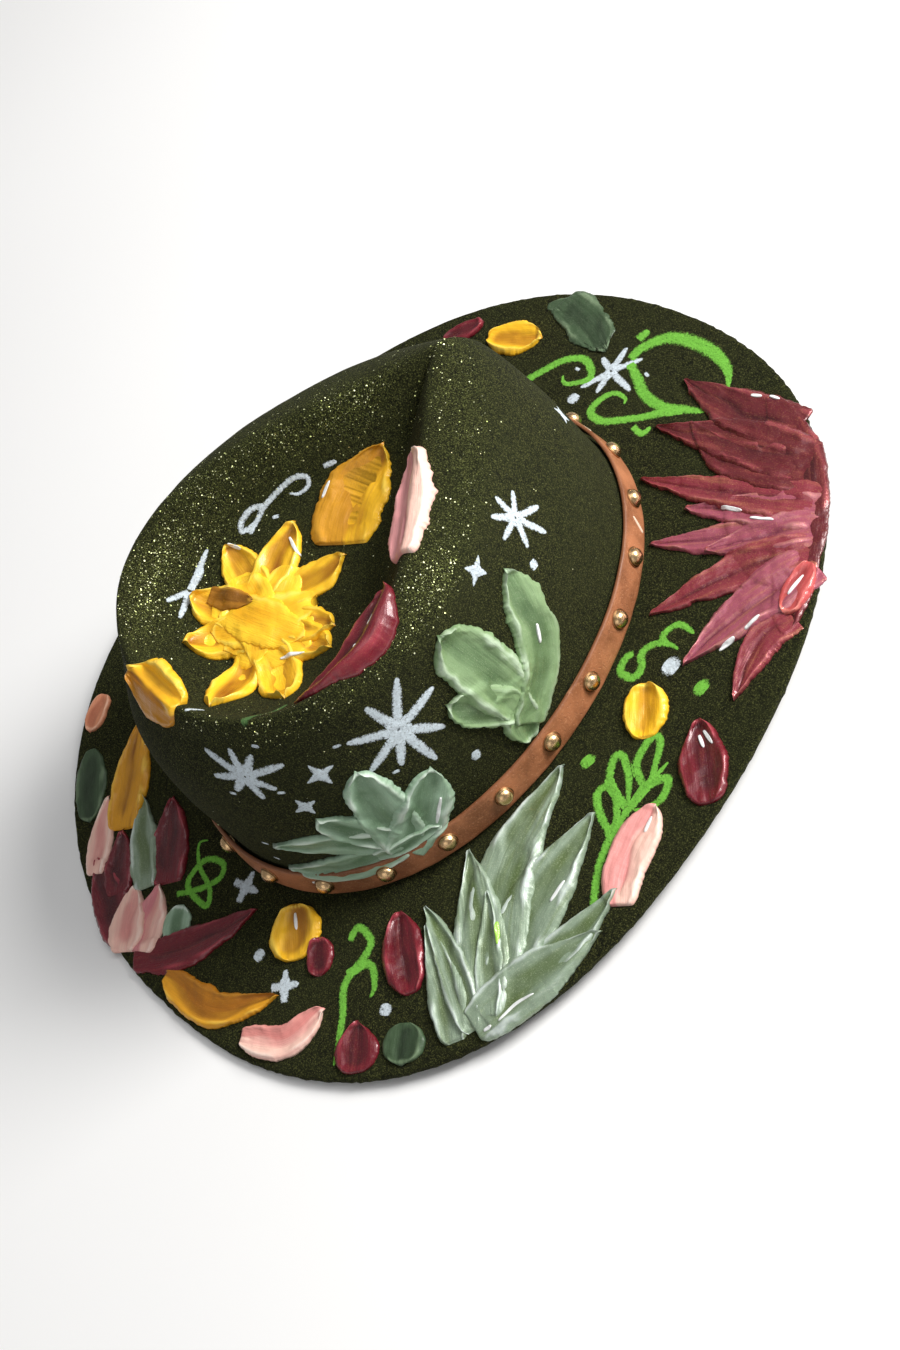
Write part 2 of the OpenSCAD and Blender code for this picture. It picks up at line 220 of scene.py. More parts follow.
class Nodes:
    """Short ways to add and join the nodes of one material"""

    def __init__(self, name):
        self.material = bpy.data.materials.new(name)
        self.material.use_nodes = True
        self.tree = self.material.node_tree
        self.shader = self.tree.nodes["Principled BSDF"]

    def add(self, kind, settings=None, **inputs):
        node = self.tree.nodes.new(kind)
        for key, value in (settings or {}).items():
            setattr(node, key, value)
        for key, value in inputs.items():
            self.put(node, key.replace("_", " "), value)
        return node

    def put(self, node, key, value):
        socket = node.inputs[int(key)] if key.isdigit() else node.inputs[key]
        if isinstance(value, bpy.types.NodeSocket):
            self.tree.links.new(value, socket)
        else:
            socket.default_value = value

    def place(self, space="Object", stretch=(1, 1, 1)):
        coordinates = self.add("ShaderNodeTexCoord").outputs[space]
        return self.add("ShaderNodeMapping", Vector=coordinates, Scale=stretch).outputs[0]

    def noise(self, scale, detail=3.0, rough=0.55, vector=None, twist=0.0):
        node = self.add("ShaderNodeTexNoise", Scale=scale, Detail=detail, Roughness=rough,
                        Distortion=twist, Vector=vector or self.place())
        return node.outputs[0]

    def ramp(self, value, low, high, start=0.0, end=1.0):
        return self.add("ShaderNodeMapRange", {"interpolation_type": "SMOOTHSTEP"}, Value=value,
                        From_Min=low, From_Max=high, To_Min=start, To_Max=end).outputs[0]

    def mix(self, share, one, two, blend="MIX"):
        node = self.add("ShaderNodeMix", {"data_type": "RGBA", "blend_type": blend})
        for index, value in ((0, share), (6, one), (7, two)):
            self.put(node, str(index), value)
        return node.outputs[2]

    def sum(self, one, two, kind="ADD"):
        node = self.add("ShaderNodeMath", {"operation": kind})
        self.put(node, "0", one)
        self.put(node, "1", two)
        return node.outputs[0]

    def bump(self, height, distance, strength=1.0, under=None):
        node = self.add("ShaderNodeBump", Height=height, Distance=distance, Strength=strength)
        if under is not None:
            self.put(node, "Normal", under)
        return node.outputs[0]

    def finish(self, **inputs):
        for key, value in inputs.items():
            self.put(self.shader, key.replace("_", " "), value)
        return self.material


def srgb(r, g, b):
    """A linear colour from screen values of 0 to 255"""
    return tuple(((c / 255 + 0.055) / 1.055) ** 2.4 if c > 10 else c / 3295 for c in (r, g, b))


def rgba(colour, alpha=1.0):
    return (*colour, alpha)


def felt_surface(n):
    """Colour, height and share of gold dust of dark olive wool felt"""
    grain = n.noise(1900, 4, 0.75)
    clumps = n.noise(520, 4, 0.65)
    clouds = n.noise(26, 3, 0.5)
    dark, mid, light = srgb(8, 10, 4), srgb(27, 30, 12), srgb(110, 112, 62)
    colour = n.mix(n.ramp(clumps, 0.36, 0.6), rgba(dark), rgba(mid))
    colour = n.mix(n.ramp(grain, 0.5, 0.66, 0, 0.6), colour, rgba(light))
    colour = n.mix(n.ramp(clouds, 0.35, 0.7, 0, 0.25), colour, rgba(srgb(40, 44, 22)))
    dust = n.add("ShaderNodeAttribute", {"attribute_name": "dust"}).outputs["Fac"]
    specks = n.ramp(n.noise(1700, 2, 0.8), 0.56, 0.66)
    share = n.sum(specks, dust, "MULTIPLY")
    colour = n.mix(share, colour, rgba(srgb(126, 134, 74)))
    height = n.sum(n.sum(grain, 0.6, "MULTIPLY"), clumps)
    return colour, height, share


def felt_finish(n, colour, height, share):
    return n.finish(
        Base_Color=colour, Roughness=n.ramp(share, 0, 1, 0.96, 0.45),
        Metallic=n.sum(share, 0.6, "MULTIPLY"), Normal=n.bump(height, 0.0007, 1.0),
        Sheen_Weight=0.05, Sheen_Roughness=0.5, Sheen_Tint=rgba(srgb(150, 150, 105)),
        Specular_IOR_Level=0.12,
    )


def felt_material():
    n = Nodes("olive_felt")
    return felt_finish(n, *felt_surface(n))


def leather_material(name, deep, main, light, grain_scale=900, roughness=0.42):
    n = Nodes(name)
    pores = n.add("ShaderNodeTexVoronoi", Scale=grain_scale, Vector=n.place()).outputs[0]
    clouds = n.noise(60, 5, 0.6)
    fine = n.noise(1500, 3, 0.6)
    colour = n.mix(n.ramp(clouds, 0.3, 0.7), rgba(deep), rgba(main))
    colour = n.mix(n.ramp(fine, 0.5, 0.8, 0, 0.5), colour, rgba(light))
    edge = n.add("ShaderNodeAttribute", {"attribute_name": "edge"}).outputs["Fac"]
    colour = n.mix(n.sum(edge, 0.7, "MULTIPLY"), colour, rgba(deep))
    scratches = n.noise(90, 2, 0.5, n.place(stretch=(1, 1, 14)), 1.5)
    colour = n.mix(n.ramp(scratches, 0.66, 0.74, 0, 0.4), colour, rgba(light))
    height = n.sum(n.ramp(pores, 0.0, 0.35), n.sum(fine, 0.35, "MULTIPLY"))
    return n.finish(
        Base_Color=colour, Normal=n.bump(height, 0.00025, 0.7),
        Roughness=n.ramp(clouds, 0.3, 0.75, roughness, roughness + 0.18),
        Specular_IOR_Level=0.45,
    )


def brass_material():
    n = Nodes("antique_brass")
    stains = n.noise(380, 5, 0.65)
    fine = n.noise(2600, 3, 0.6)
    recess = n.add("ShaderNodeAttribute", {"attribute_name": "edge"}).outputs["Fac"]
    patina = n.sum(n.ramp(stains, 0.5, 0.8, 0, 0.35), n.sum(recess, 0.8, "MULTIPLY"))
    colour = n.mix(n.ramp(patina, 0, 1), rgba(srgb(228, 190, 142)), rgba(srgb(104, 72, 42)))
    return n.finish(
        Base_Color=colour, Metallic=1.0, Roughness=n.ramp(patina, 0, 1, 0.26, 0.5),
        Normal=n.bump(n.sum(stains, fine), 0.0001, 0.5),
    )


def thread_material():
    n = Nodes("thread")
    ply = n.noise(2400, 2, 0.5, n.place(stretch=(1, 1, 0.3)))
    colour = n.mix(n.ramp(ply, 0.35, 0.65), rgba(srgb(120, 92, 60)), rgba(srgb(190, 156, 112)))
    return n.finish(Base_Color=colour, Roughness=0.7, Normal=n.bump(ply, 0.0002, 0.8))


def paint_material(name, roughness=0.32, metallic=0.0, coat=0.25, shimmer=None):
    """Dried thick paint: colour from the strokes, fine brush lines and pits, gloss that varies"""
    n = Nodes(name)
    layer = n.add("ShaderNodeAttribute", {"attribute_name": "paint"})
    colour, gleam = layer.outputs["Color"], layer.outputs["Alpha"]
    lines = n.noise(1, 4, 0.6, n.place("UV", (90, 1400, 1)))
    pits = n.noise(1900, 3, 0.6)
    waves = n.noise(260, 3, 0.5)
    shade = n.mix(n.ramp(lines, 0.3, 0.7, 0.0, 0.3), (1, 1, 1, 1), (0.66, 0.66, 0.66, 1))
    colour = n.mix(1.0, colour, shade, "MULTIPLY")
    if shimmer:
        flecks = n.ramp(n.noise(2200, 2, 0.75), 0.55, 0.68)
        colour = n.mix(n.sum(flecks, gleam, "MULTIPLY"), colour, rgba(shimmer))
    metal = n.sum(gleam, metallic, "MULTIPLY")
    height = n.sum(n.sum(lines, 0.8, "MULTIPLY"), n.sum(waves, n.sum(pits, 0.25, "MULTIPLY")))
    return n.finish(
        Base_Color=colour, Metallic=metal, Normal=n.bump(height, 0.0004, 0.7),
        Roughness=n.ramp(n.sum(waves, lines), 0.6, 1.4, roughness - 0.1, roughness + 0.16),
        Coat_Weight=coat, Coat_Roughness=0.12, Specular_IOR_Level=0.35,
    )


def pen_material(name):
    """Chalky paint pen: grains of paint that thin out into the felt at the line's edges"""
    n = Nodes(name)
    colour, height, share = felt_surface(n)
    layer = n.add("ShaderNodeAttribute", {"attribute_name": "paint"})
    speckle = n.noise(1100, 4, 0.9)
    cover = n.ramp(n.sum(n.sum(layer.outputs["Alpha"], 0.32, "MULTIPLY"), speckle), 0.6, 0.8)
    chalk = n.mix(n.ramp(height, 0.5, 1.1), (0.76, 0.76, 0.76, 1), (1, 1, 1, 1))
    chalk = n.mix(1.0, layer.outputs["Color"], chalk, "MULTIPLY")
    return felt_finish(n, n.mix(cover, colour, chalk), height, share)


def glitter_material():
    n = Nodes("gold_glitter")
    tint = n.add("ShaderNodeAttribute", {"attribute_name": "edge"}).outputs["Fac"]
    worn = n.noise(3000, 2, 0.6)
    colour = n.mix(tint, rgba(srgb(196, 208, 120)), rgba(srgb(246, 248, 206)))
    colour = n.mix(n.ramp(worn, 0.5, 0.8, 0, 0.4), colour, rgba(srgb(150, 150, 70)))
    return n.finish(Base_Color=colour, Metallic=0.5, Roughness=n.ramp(worn, 0.3, 0.7, 0.25, 0.5))


FELT = felt_material()
STRAP = leather_material("tan_leather", srgb(116, 70, 42), srgb(174, 112, 74), srgb(206, 150, 110))
SWEAT = leather_material("sweatband_leather", srgb(44, 28, 18), srgb(86, 56, 36),
                         srgb(120, 84, 58), 1300, 0.5)
BRASS = brass_material()
THREAD = thread_material()
GLITTER = glitter_material()
PAINTS = {
    name: paint_material(name, roughness, metallic, coat, srgb(*shimmer))
    for name, roughness, metallic, coat, shimmer in (
        ("yellow_paint", 0.36, 0.25, 0.15, (226, 166, 70)),
        ("burgundy_paint", 0.3, 0.45, 0.4, (204, 146, 96)),
        ("sage_paint", 0.4, 0.35, 0.15, (214, 224, 190)),
        ("pink_paint", 0.42, 0.1, 0.15, (250, 220, 200)),
        ("peach_paint", 0.42, 0.1, 0.15, (240, 190, 160)),
        ("green_paint", 0.45, 0.2, 0.1, (120, 160, 110)))
}
WHITE_GLOSS = paint_material("white_highlight", 0.25, 0.0, 0.6)
WHITE_PEN = pen_material("white_pen")
GREEN_PEN = pen_material("green_pen")

# ---- Felt ----

# Points round the felt, and rows of them between one ring and the next
FELT_TURNS = 480
TOP_ROWS = [28, 26, 6, 10, 22, 20, 16, 14, 14, 16, 20, 14]
UNDER_ROWS = [12, 11, 4, 5, 10, 8, 8, 8, 8, 8, 8, 6]
# Rings of the brim's cut edge: their share of the way down, and how far they bulge
CUT_EDGE = [(0.12, 0.25), (0.35, 0.5), (0.65, 0.5), (0.88, 0.25)]


def between(steps):
    """Stations of the rows, from the number of steps between one ring and the next"""
    rows = [k + i / n for k, n in enumerate(steps) for i in range(n)]
    return np.array([*rows, len(steps)])


def waviness(turn, station):
    """How far the felt strays from its ideal shape, in millimetres"""
    x, y = skin(turn, station)[..., 0] / 46, skin(turn, station)[..., 1] / 46
    fine = noise(x * 7, y * 7 + station, 12) * 0.12
    return layered(x, y + station * 0.2, 11, 2) * 0.5 + fine


# Patches of gold dust: their strength, place, and extent in degrees and in stations
DUST = [(1.0, (322, 8.3), 18, 0.7), (0.9, (40, 8.9), 26, 0.8), (0.6, (355, 8.6), 40, 0.9),
        (0.9, (186, 7.3), 20, 0.5), (0.5, (235, 7.6), 30, 0.8), (0.4, (120, 7.6), 34, 0.6)]
DUST_HAZE = 0.14                  # thin dust all over the top of the crown


def gold_dust(turn, station):
    """Where gold dust lies on the felt, from 0 to 1"""
    cover = 0
    for strength, (t, s), wide, high in DUST:
        off = (turn - t + 180) % 360 - 180
        cover = cover + strength * np.exp(-((off / wide) ** 2) - ((station - s) / high) ** 2)
    cover = cover + DUST_HAZE * (station > 7)
    x, y = skin(turn, station)[..., 0] / 9, skin(turn, station)[..., 1] / 9
    return np.clip(cover * (0.75 + 0.5 * layered(x, y, 31)), 0, 1)


def felt_body():
    turns = np.arange(FELT_TURNS) * 360 / FELT_TURNS
    top, under = between(TOP_ROWS)[::-1], between(UNDER_ROWS)
    t, s = np.meshgrid(turns, top)
    rows = [skin(t, s) + waviness(t, s)[..., None] * outward(t, s)]
    upper, lower = rows[0][-1], skin(turns, np.zeros(FELT_TURNS), True)
    lower = lower + (upper - skin(turns, np.zeros(FELT_TURNS)))
    out = unit(upper * [1, 1, 0])
    ragged = 0.25 * noise(turns * 1.9, 0 * turns, 5) + 0.18 * noise(turns * 5, 0 * turns, 6)
    for share, reach in CUT_EDGE:
        fray = 0.12 * noise(turns * 7, share * 9 + 0 * turns, 7)
        ring = upper + share * (lower - upper) + (reach + ragged + fray)[:, None] * out
        rows.append(ring[None])
    t, s = np.meshgrid(turns, under)
    rows.append(skin(t, s, True) + (waviness(t, s) * step(1.5, 0, s))[..., None] * [0, 0, 1])
    points = np.concatenate([r.reshape(-1, 3) for r in rows])
    count = len(points) // FELT_TURNS
    faces = grid_faces(count, FELT_TURNS, closed=True).tolist()
    first, last = len(points), len(points) + 1
    edge = (count - 1) * FELT_TURNS
    for j in range(FELT_TURNS):
        k = (j + 1) % FELT_TURNS
        faces.append([first, k, j])
        faces.append([last, edge + j, edge + k])
    points = np.vstack([points, skin(0, 12.0) * [0, 1, 1], skin(0, 12.0, True) * [0, 1, 1]])
    dust = np.zeros(len(points))
    t, s = np.meshgrid(turns, top)
    dust[: t.size] = gold_dust(t, s).ravel()
    piece = build("felt_body_visual", points, faces, FELT, extra={"dust": dust})
    tree = BVHTree.FromPolygons(points[: t.size].tolist(),
                                grid_faces(len(top), FELT_TURNS, closed=True).tolist())
    place_on(piece, "felt_body", finish="olive_felt")
    return tree


felt_tree = felt_body()

# ---- Leather and studs ----


def oval(turn, grow, z):
    """A point on the oval round the foot of the crown, grown outwards and lifted"""
    r, t = RINGS[3], np.radians(turn)
    c, s = curved(np.cos(t), 2 / r[2]), curved(np.sin(t), 2 / r[2])
    x, y = (r[1] + grow) * c * (1 + r[3] * s), r[5] + (r[0] + grow) * s
    return np.stack(np.broadcast_arrays(x, y, z), -1)


def evenly(count, grow, start_turn, phase):
    """Turns of points evenly spaced round an oval"""
    turns = np.arange(0, 360.01, 2)
    p = oval(turns, grow, 0.0)
    run = np.concatenate([[0], np.cumsum(length(np.diff(p, axis=0))[:, 0])])
    start = np.interp(start_turn, turns, run) + phase
    return np.interp((start + np.arange(count) * run[-1] / count) % run[-1], run, turns)


def band(name, low, high, thickness, seam_turn, seam_gap, material, wave, seed):
    """A strip of leather on edge round the crown, with rounded edges and a butted seam"""
    columns, rows = 24, 540
    ring = np.arange(columns) / columns * 2 * math.pi
    across = curved(np.cos(ring), 0.22) * 0.5 + 0.5
    deep = curved(np.sin(ring), 0.5) * 0.5 + 0.5
    turns = seam_turn + seam_gap / 2 + np.linspace(0, 360 - seam_gap, rows)
    t = turns[:, None]
    sway = wave * noise(t / 9, 0 * t, seed) + 0.3 * wave * noise(t / 2.3, 0 * t, seed + 1)
    puff = 0.12 * noise(t / 3, across[None] * 4, seed + 2)
    grow = low[0] + across * (high[0] - low[0]) + deep * thickness + puff * (deep > 0.5)
    z = low[1] + across * (high[1] - low[1]) + sway * (across > 0.5)
    points = oval(t, grow, z).reshape(-1, 3)
    faces = grid_faces(rows, columns, closed=True).tolist()
    faces.append(list(range(columns))[::-1])
    faces.append([(rows - 1) * columns + i for i in range(columns)])
    edge = np.broadcast_to(np.abs(across - 0.5) * 2, (rows, columns)) ** 8
    return build(name, points, [f[::-1] for f in faces], material, extra={"edge": edge})


# How far each edge lies outside the crown's foot and how high, and how thick the leather is
STRAP_LOW, STRAP_HIGH, STRAP_THICK = (0.6, 10), (-1.8, 22.4), 1.8
SWEAT_LOW, SWEAT_HIGH, SWEAT_THICK = (-5.7, 6.6), (-8.7, 38), 1.3
STUD_COUNT, STUD_PHASE = 23, 4.5

strap = band("hatband_visual", STRAP_LOW, STRAP_HIGH, STRAP_THICK, 6, 0.3, STRAP, 0.15, 41)
sweatband = band("sweatband_visual", SWEAT_LOW, SWEAT_HIGH, SWEAT_THICK, 90, 0.4, SWEAT, 0.5, 51)
place_on(strap, "hatband_strap", finish="tan_leather")
place_on(sweatband, "sweatband", finish="sweatband_leather")

# Radius and height of a stud's profile from its flange to its top, in millimetres
STUD_PROFILE = [(0, -0.3), (3.7, -0.3), (3.95, 0.05), (3.85, 0.4), (3.5, 0.55), (3.4, 0.95),
                (3.1, 1.65), (2.6, 2.25), (1.95, 2.7), (1.2, 2.98), (0.55, 3.08), (0, 3.12)]


def stud_caps():
    sides, points, faces, worn = 28, [], [], []
    grow = (STRAP_LOW[0] + STRAP_HIGH[0]) / 2
    level = (STRAP_LOW[1] + STRAP_HIGH[1]) / 2
    lean = math.atan2(STRAP_LOW[0] - STRAP_HIGH[0], STRAP_HIGH[1] - STRAP_LOW[1])
    angles = np.arange(sides) * 2 * math.pi / sides
    for index, turn in enumerate(evenly(STUD_COUNT, grow, 180, -STUD_PHASE)):
        along = unit(oval(turn + 1, grow, 0.0) - oval(turn - 1, grow, 0.0))
        flat = np.cross(along, [0, 0, 1])
        out = math.cos(lean) * flat + math.sin(lean) * np.array([0, 0, 1])
        up = np.cross(out, along)
        middle = oval(turn, grow, level) + (STRAP_THICK + 0.1) * out
        first = len(points)
        for k, (radius, rise) in enumerate(STUD_PROFILE):
            if radius == 0:
                points.append(middle + rise * out)
                worn.append(0.0)
                continue
            dented = radius * (1 + 0.012 * noise(angles * 2, angles * 0 + index + rise, 61))
            ring = middle + rise * out + dented[:, None] * (
                np.cos(angles)[:, None] * along + np.sin(angles)[:, None] * up)
            points.extend(ring)
            worn.extend([1.0 if 0.3 < rise < 0.9 else 0.15] * sides)
        inner = len(STUD_PROFILE) - 2
        faces += (grid_faces(inner, sides, closed=True) + first + 1).tolist()
        end = first + 1 + inner * sides
        for j in range(sides):
            faces.append([first, first + 1 + (j + 1) % sides, first + 1 + j])
            ring = end - sides
            faces.append([end, ring + j, ring + (j + 1) % sides])
    return build("stud_caps_visual", points, faces, BRASS, extra={"edge": worn})


place_on(stud_caps(), "stud_caps", finish="antique_brass")

# ---- Paint ----
# A stroke is laid along a spine of places on the felt. Its length runs from its root (0) to its
# tip (1) and its width from -1 to 1. Each stroke lies on the felt and on the strokes before it.

GRID = 0.42                       # distance between a stroke's points
SUNK = 0.35                       # how far a stroke's border dips under what it lies on
PEN_FILM = 0.09                   # thickness of the paint pen's film
laid = []                         # search tree, lowest and highest corner of each stroke
inked = []                        # the same for the strokes of the paint pen


def as_ground(piece):
    """Lets later strokes lie on a piece"""
    points = np.array([v.co for v in piece.data.vertices]) / MM
    tree = BVHTree.FromPolygons(points.tolist(), [p.vertices[:] for p in piece.data.polygons])
    laid.append((tree, points.min(0), points.max(0)))


class Look:
    """Colours of a stroke: its hollows (painted shade), body, raised parts (painted highlight) and
    streaks
    """

    def __init__(self, deep, main, light, streak, gleam=0.5, streaks=0.35, chalky=False):
        self.deep, self.main, self.light, self.streak = (
            np.array(srgb(*c)) for c in (deep, main, light, streak))
        self.gleam, self.streaks, self.chalky = gleam, streaks, chalky


def curve(points, normals, count):
    """A smooth line through the points, evenly spaced, and the normals along it"""
    points, normals = np.asarray(points, float), np.asarray(normals, float)
    if len(points) == 2:
        points = np.vstack([points[0], points.mean(0), points[1]])
        normals = np.vstack([normals[0], normals.mean(0), normals[1]])
    ghost = np.vstack([2 * points[0] - points[1], points, 2 * points[-1] - points[-2]])
    fine, across = [], []
    for k in range(len(points) - 1):
        p0, p1, p2, p3 = ghost[k:k + 4]
        u = np.linspace(0, 1, 40, endpoint=False)[:, None]
        fine.append(0.5 * (2 * p1 + (p2 - p0) * u + (2 * p0 - 5 * p1 + 4 * p2 - p3) * u**2
                           + (3 * p1 - p0 - 3 * p2 + p3) * u**3))
        across.append(normals[k] * (1 - u) + normals[k + 1] * u)
    fine, across = np.vstack([*fine, points[-1:]]), np.vstack([*across, normals[-1:]])
    run = np.concatenate([[0], np.cumsum(length(np.diff(fine, axis=0))[:, 0])])
    at = np.linspace(0, run[-1], count)
    line = np.stack([np.interp(at, run, fine[:, i]) for i in range(3)], -1)
    lean = np.stack([np.interp(at, run, across[:, i]) for i in range(3)], -1)
    return line, unit(lean), run[-1]


def surface_below(points, normals, trees, reach=14.0):
    """How far above each point the highest surface lies along its normal"""
    best = np.full(len(points), np.nan)
    starts = [Vector(p) for p in points + normals * reach]
    ways = [Vector(n) for n in -normals]
    for tree in trees:
        for i, (start, way) in enumerate(zip(starts, ways)):
            distance = tree.ray_cast(start, way, 2 * reach)[3]
            if distance is not None and not best[i] > reach - distance:
                best[i] = reach - distance
    return best


def fill_gaps(values):
    """Rows of values with their gaps filled from the nearest known ones"""
    for row in values:
        known = ~np.isnan(row)
        if known.any():
            row[:] = np.interp(np.arange(len(row)), np.flatnonzero(known), row[known])
    whole = ~np.isnan(values).any(axis=1)
    for column in values.T:
        column[:] = np.interp(np.arange(len(column)), np.flatnonzero(whole), column[whole])
    return values


def softened(values, passes):
    """A grid of values, each made more like its neighbours"""
    for _ in range(passes):
        padded = np.pad(values, 1, mode="edge")
        values = (padded[:-2, 1:-1] + padded[2:, 1:-1] + padded[1:-1, :-2] + padded[1:-1, 2:]
                  + 2 * values) / 6
    return values


def half_width(u, root, tip, peak):
    """Half-width along a stroke over its greatest; root and tip run from 0, round, to 1"""
    before = np.clip(1 - u / peak, 0, 1)
    after = np.clip((u - peak) / (1 - peak), 0, 1)
    start = root + (1 - root) * np.sqrt(np.clip(1 - before**2, 0, 1))
    power, bend = 2.2 - 0.7 * tip, 0.5 + 0.42 * tip
    return start * np.clip(1 - after**power, 0, 1) ** bend


def path(*places):
    """The points and normals of places on the felt"""
    turns, stations = np.array(places, float).T
    return skin(turns, stations), outward(turns, stations)


def upright(spine, share=0.75):
    """The same spine with its normals turned towards the sky"""
    points, normals = spine
    return points, unit(normals * (1 - share) + np.array([0, 0, share]))


def around(place, *offsets):
    """Points near a place, each so many millimetres along the ring and up the felt"""
    turn, station = place
    middle, up = skin(turn, float(station)), outward(turn, float(station))
    side = unit(skin(turn + 0.5, station) - skin(turn - 0.5, station))
    rise = np.cross(up, side)
    points = np.array([middle + a * side + b * rise for a, b in offsets])
    return points, np.repeat(up[None], len(offsets), axis=0)


# How a stroke is laid unless it says otherwise, in millimetres and shares of its size
STROKE = dict(
    thick=1.7,          # body of the paint
    rim=0.9,            # ridge along the edges and round the tip
    hollow=0.7,         # trough along the middle
    crease=0.0,         # narrow fold in the trough
    lines=0.16,         # brush lines
    lump=0.38,          # unevenness
    root=0.3,           # width at the root; 0 is round
    tip=1.0,            # sharpness of the tip; 0 is round
    peak=0.42,          # where along it the stroke is widest
    lean=0.0,           # bend to one side
    ragged=0.5,         # how rough the edges are
    worn_tip=0.0,       # how far the tip frays
    thin_root=0.0,      # share of the height lost at the root
    thin_tip=0.0,       # and at the tip
    sides=None,         # a second colour, on one side of the middle
    press=0.55,         # how far it rises over the strokes below
    blend=0.5,          # how much of their relief it smooths
    passes=16,          # and how widely
    drop=None,          # how far its edges may hang below its middle, over the crest
)
NEAR = 9                # strokes further away than this can't touch
CROWD = 0.86            # how much a stroke's columns crowd towards its edges
BRIDGE_PASSES = 14      # softening of the felt under a stroke that hangs over the crest
FEATHER = 10            # length over which a thin root or tip grows to full height
LEAST = 0.35            # height of the thinnest thick paint


def edge_strays(long_mm, side, seed, ragged):
    """How far a stroke's edges stray from smooth ones"""
    strays = layered(long_mm / 2.6, side * 9.0 + seed * 3.7, seed, 3) * ragged
    strays = strays + noise(long_mm / 8, side * 5.0 + seed, seed + 9) * ragged * 1.4
    return strays + noise(long_mm / 0.9, side * 7.0, seed + 19) * ragged * 0.28


def tip_frays(u, v, width, seed, worn_tip):
    """How far the bristles ran on at a stroke's tip"""
    frays = worn_tip * (noise(v * width / 2.2, seed + 0 * u, seed + 5)
                        + 0.6 * noise(v * width / 0.9, seed + 0 * u, seed + 6))
    return frays * step(0.55, 1, u)


def touching(areas, box):
    """The search trees of the areas that reach into a box"""
    return [tree for tree, low, high in areas if (low < box[1]).all() and (high > box[0]).all()]


def footing(points, normals, shape, box, o):
    """Height of what a stroke lies on: the felt, and the strokes that are there already"""
    ground = fill_gaps(surface_below(points, normals, [felt_tree]).reshape(shape))
    if o.drop is not None:
        bridge = np.maximum(ground, ground[:, shape[1] // 2][:, None] - o.drop)
        ground = np.maximum(ground, softened(bridge, BRIDGE_PASSES))
    near = touching(laid, box)
    if not near:
        return ground
    pile = surface_below(points, normals, near).reshape(shape)
    pile = np.where(np.isnan(pile), ground, np.maximum(pile, ground))
    soft = softened(pile - ground, o.passes)
    return ground + (soft * o.blend + (pile - ground) * (1 - o.blend)) * o.press


def relief(u, v, x, y, run, seed, o):
    """Height of the paint, how raised and how sunk it is (0 to 1), and where its middle strays"""
    side = np.sign(v)
    ridged = 0.45 - np.abs(noise(x / 17, y / 1.5 + seed, seed + 1))
    grooves = (ridged * 1.6 + 0.5 * layered(x / 9, y / 0.6, seed + 8, 2)) * o.lines
    lumps = layered(x / 5.5, y / 4, seed + 2, 3) * o.lump
    wander = 0.25 * noise(x / 12, 0 * y, seed + 3)
    place = np.abs(v) + 0.07 * noise(x / 4, side * 3, seed + 4)
    strong = 0.6 + 0.55 * noise(x / 7, side * 2 + 0 * x, seed + 7)
    rims = o.rim * strong * bump_at(place, 0.8, 0.15)
    end_rim = o.rim * 0.8 * bump_at((1 - u) * run, 1.6, 1.1) * (np.abs(v) < 0.9)
    scoop = o.hollow * np.clip(1 - ((v - wander) / 0.62) ** 2, 0, 1) * step(0, 0.25, u)
    fold = o.crease * bump_at(v - wander * 0.6, 0, 0.09) * step(0, 0.2, u) * step(1.0, 0.8, u)
    body = o.thick * (0.72 + 0.28 * np.sin(math.pi * np.clip(u, 0, 1)))
    height = softened(body + rims + end_rim - scoop - fold + grooves + lumps, 2)
    height = height * (1 - o.thin_root * step(FEATHER, 0, u * run))
    height = np.maximum(height * (1 - o.thin_tip * step(FEATHER, 0, run - u * run)), LEAST)
    raised = (rims + end_rim) / max(o.rim, 0.1) + 0.25 * grooves / max(o.lines, 0.01)
    sunk = (scoop + fold) / max(o.hollow + o.crease, 0.1)
    return height, step(0.25, 1.0, raised), step(0.15, 0.9, sunk), wander


def tinted(v, x, y, look, seed, raised, sunk, wander, sides):
    """Colour and gleam: painted shade where the paint is sunk, painted highlight where it is
    raised, and streaked
    """
    streak = step(0.1, 0.75, layered(x / 22, y / 1.5, seed + 20, 2)) * look.streaks
    patchy = layered(x / 9, y / 4.5, seed + 30, 2)
    # Painted shade: the hollows take the deep colour; painted highlight: the raised rims and ridges
    # take the light one
    colour = look.main + (look.deep - look.main) * (sunk * (0.72 + 0.4 * patchy))[..., None]
    colour = colour + (look.light - colour) * (raised * 0.88)[..., None]
    colour = colour + (look.streak - colour) * streak[..., None]
    if sides is not None:
        split = step(-0.12, 0.12, v - wander + 0.12 * patchy)[..., None]
        colour = colour + (np.array(srgb(*sides)) - colour) * split * 0.85
    return colour, look.gleam * (0.4 + 0.6 * np.clip(raised + streak, 0, 1))


def lipped(v, close):
    """Share of the full height, which falls away round at the edges and the ends"""
    lip = np.sqrt(np.clip(1 - np.abs(v) ** 7, 0, 1))
    return lip * np.sqrt(np.clip(1 - (1 - np.clip(close / 1.3, 0, 1)) ** 2, 0, 1))


def closed_faces(rows, columns):
    """The top of a stroke, then its underside and its two ends"""
    last = columns - 1
    top = grid_faces(rows, columns)[:, ::-1].tolist()
    under = [[i * columns, i * columns + last, (i + 1) * columns + last, (i + 1) * columns]
             for i in range(rows - 1)]
    ends = [list(range(columns)), [(rows - 1) * columns + j for j in range(last, -1, -1)]]
    return top, under + ends


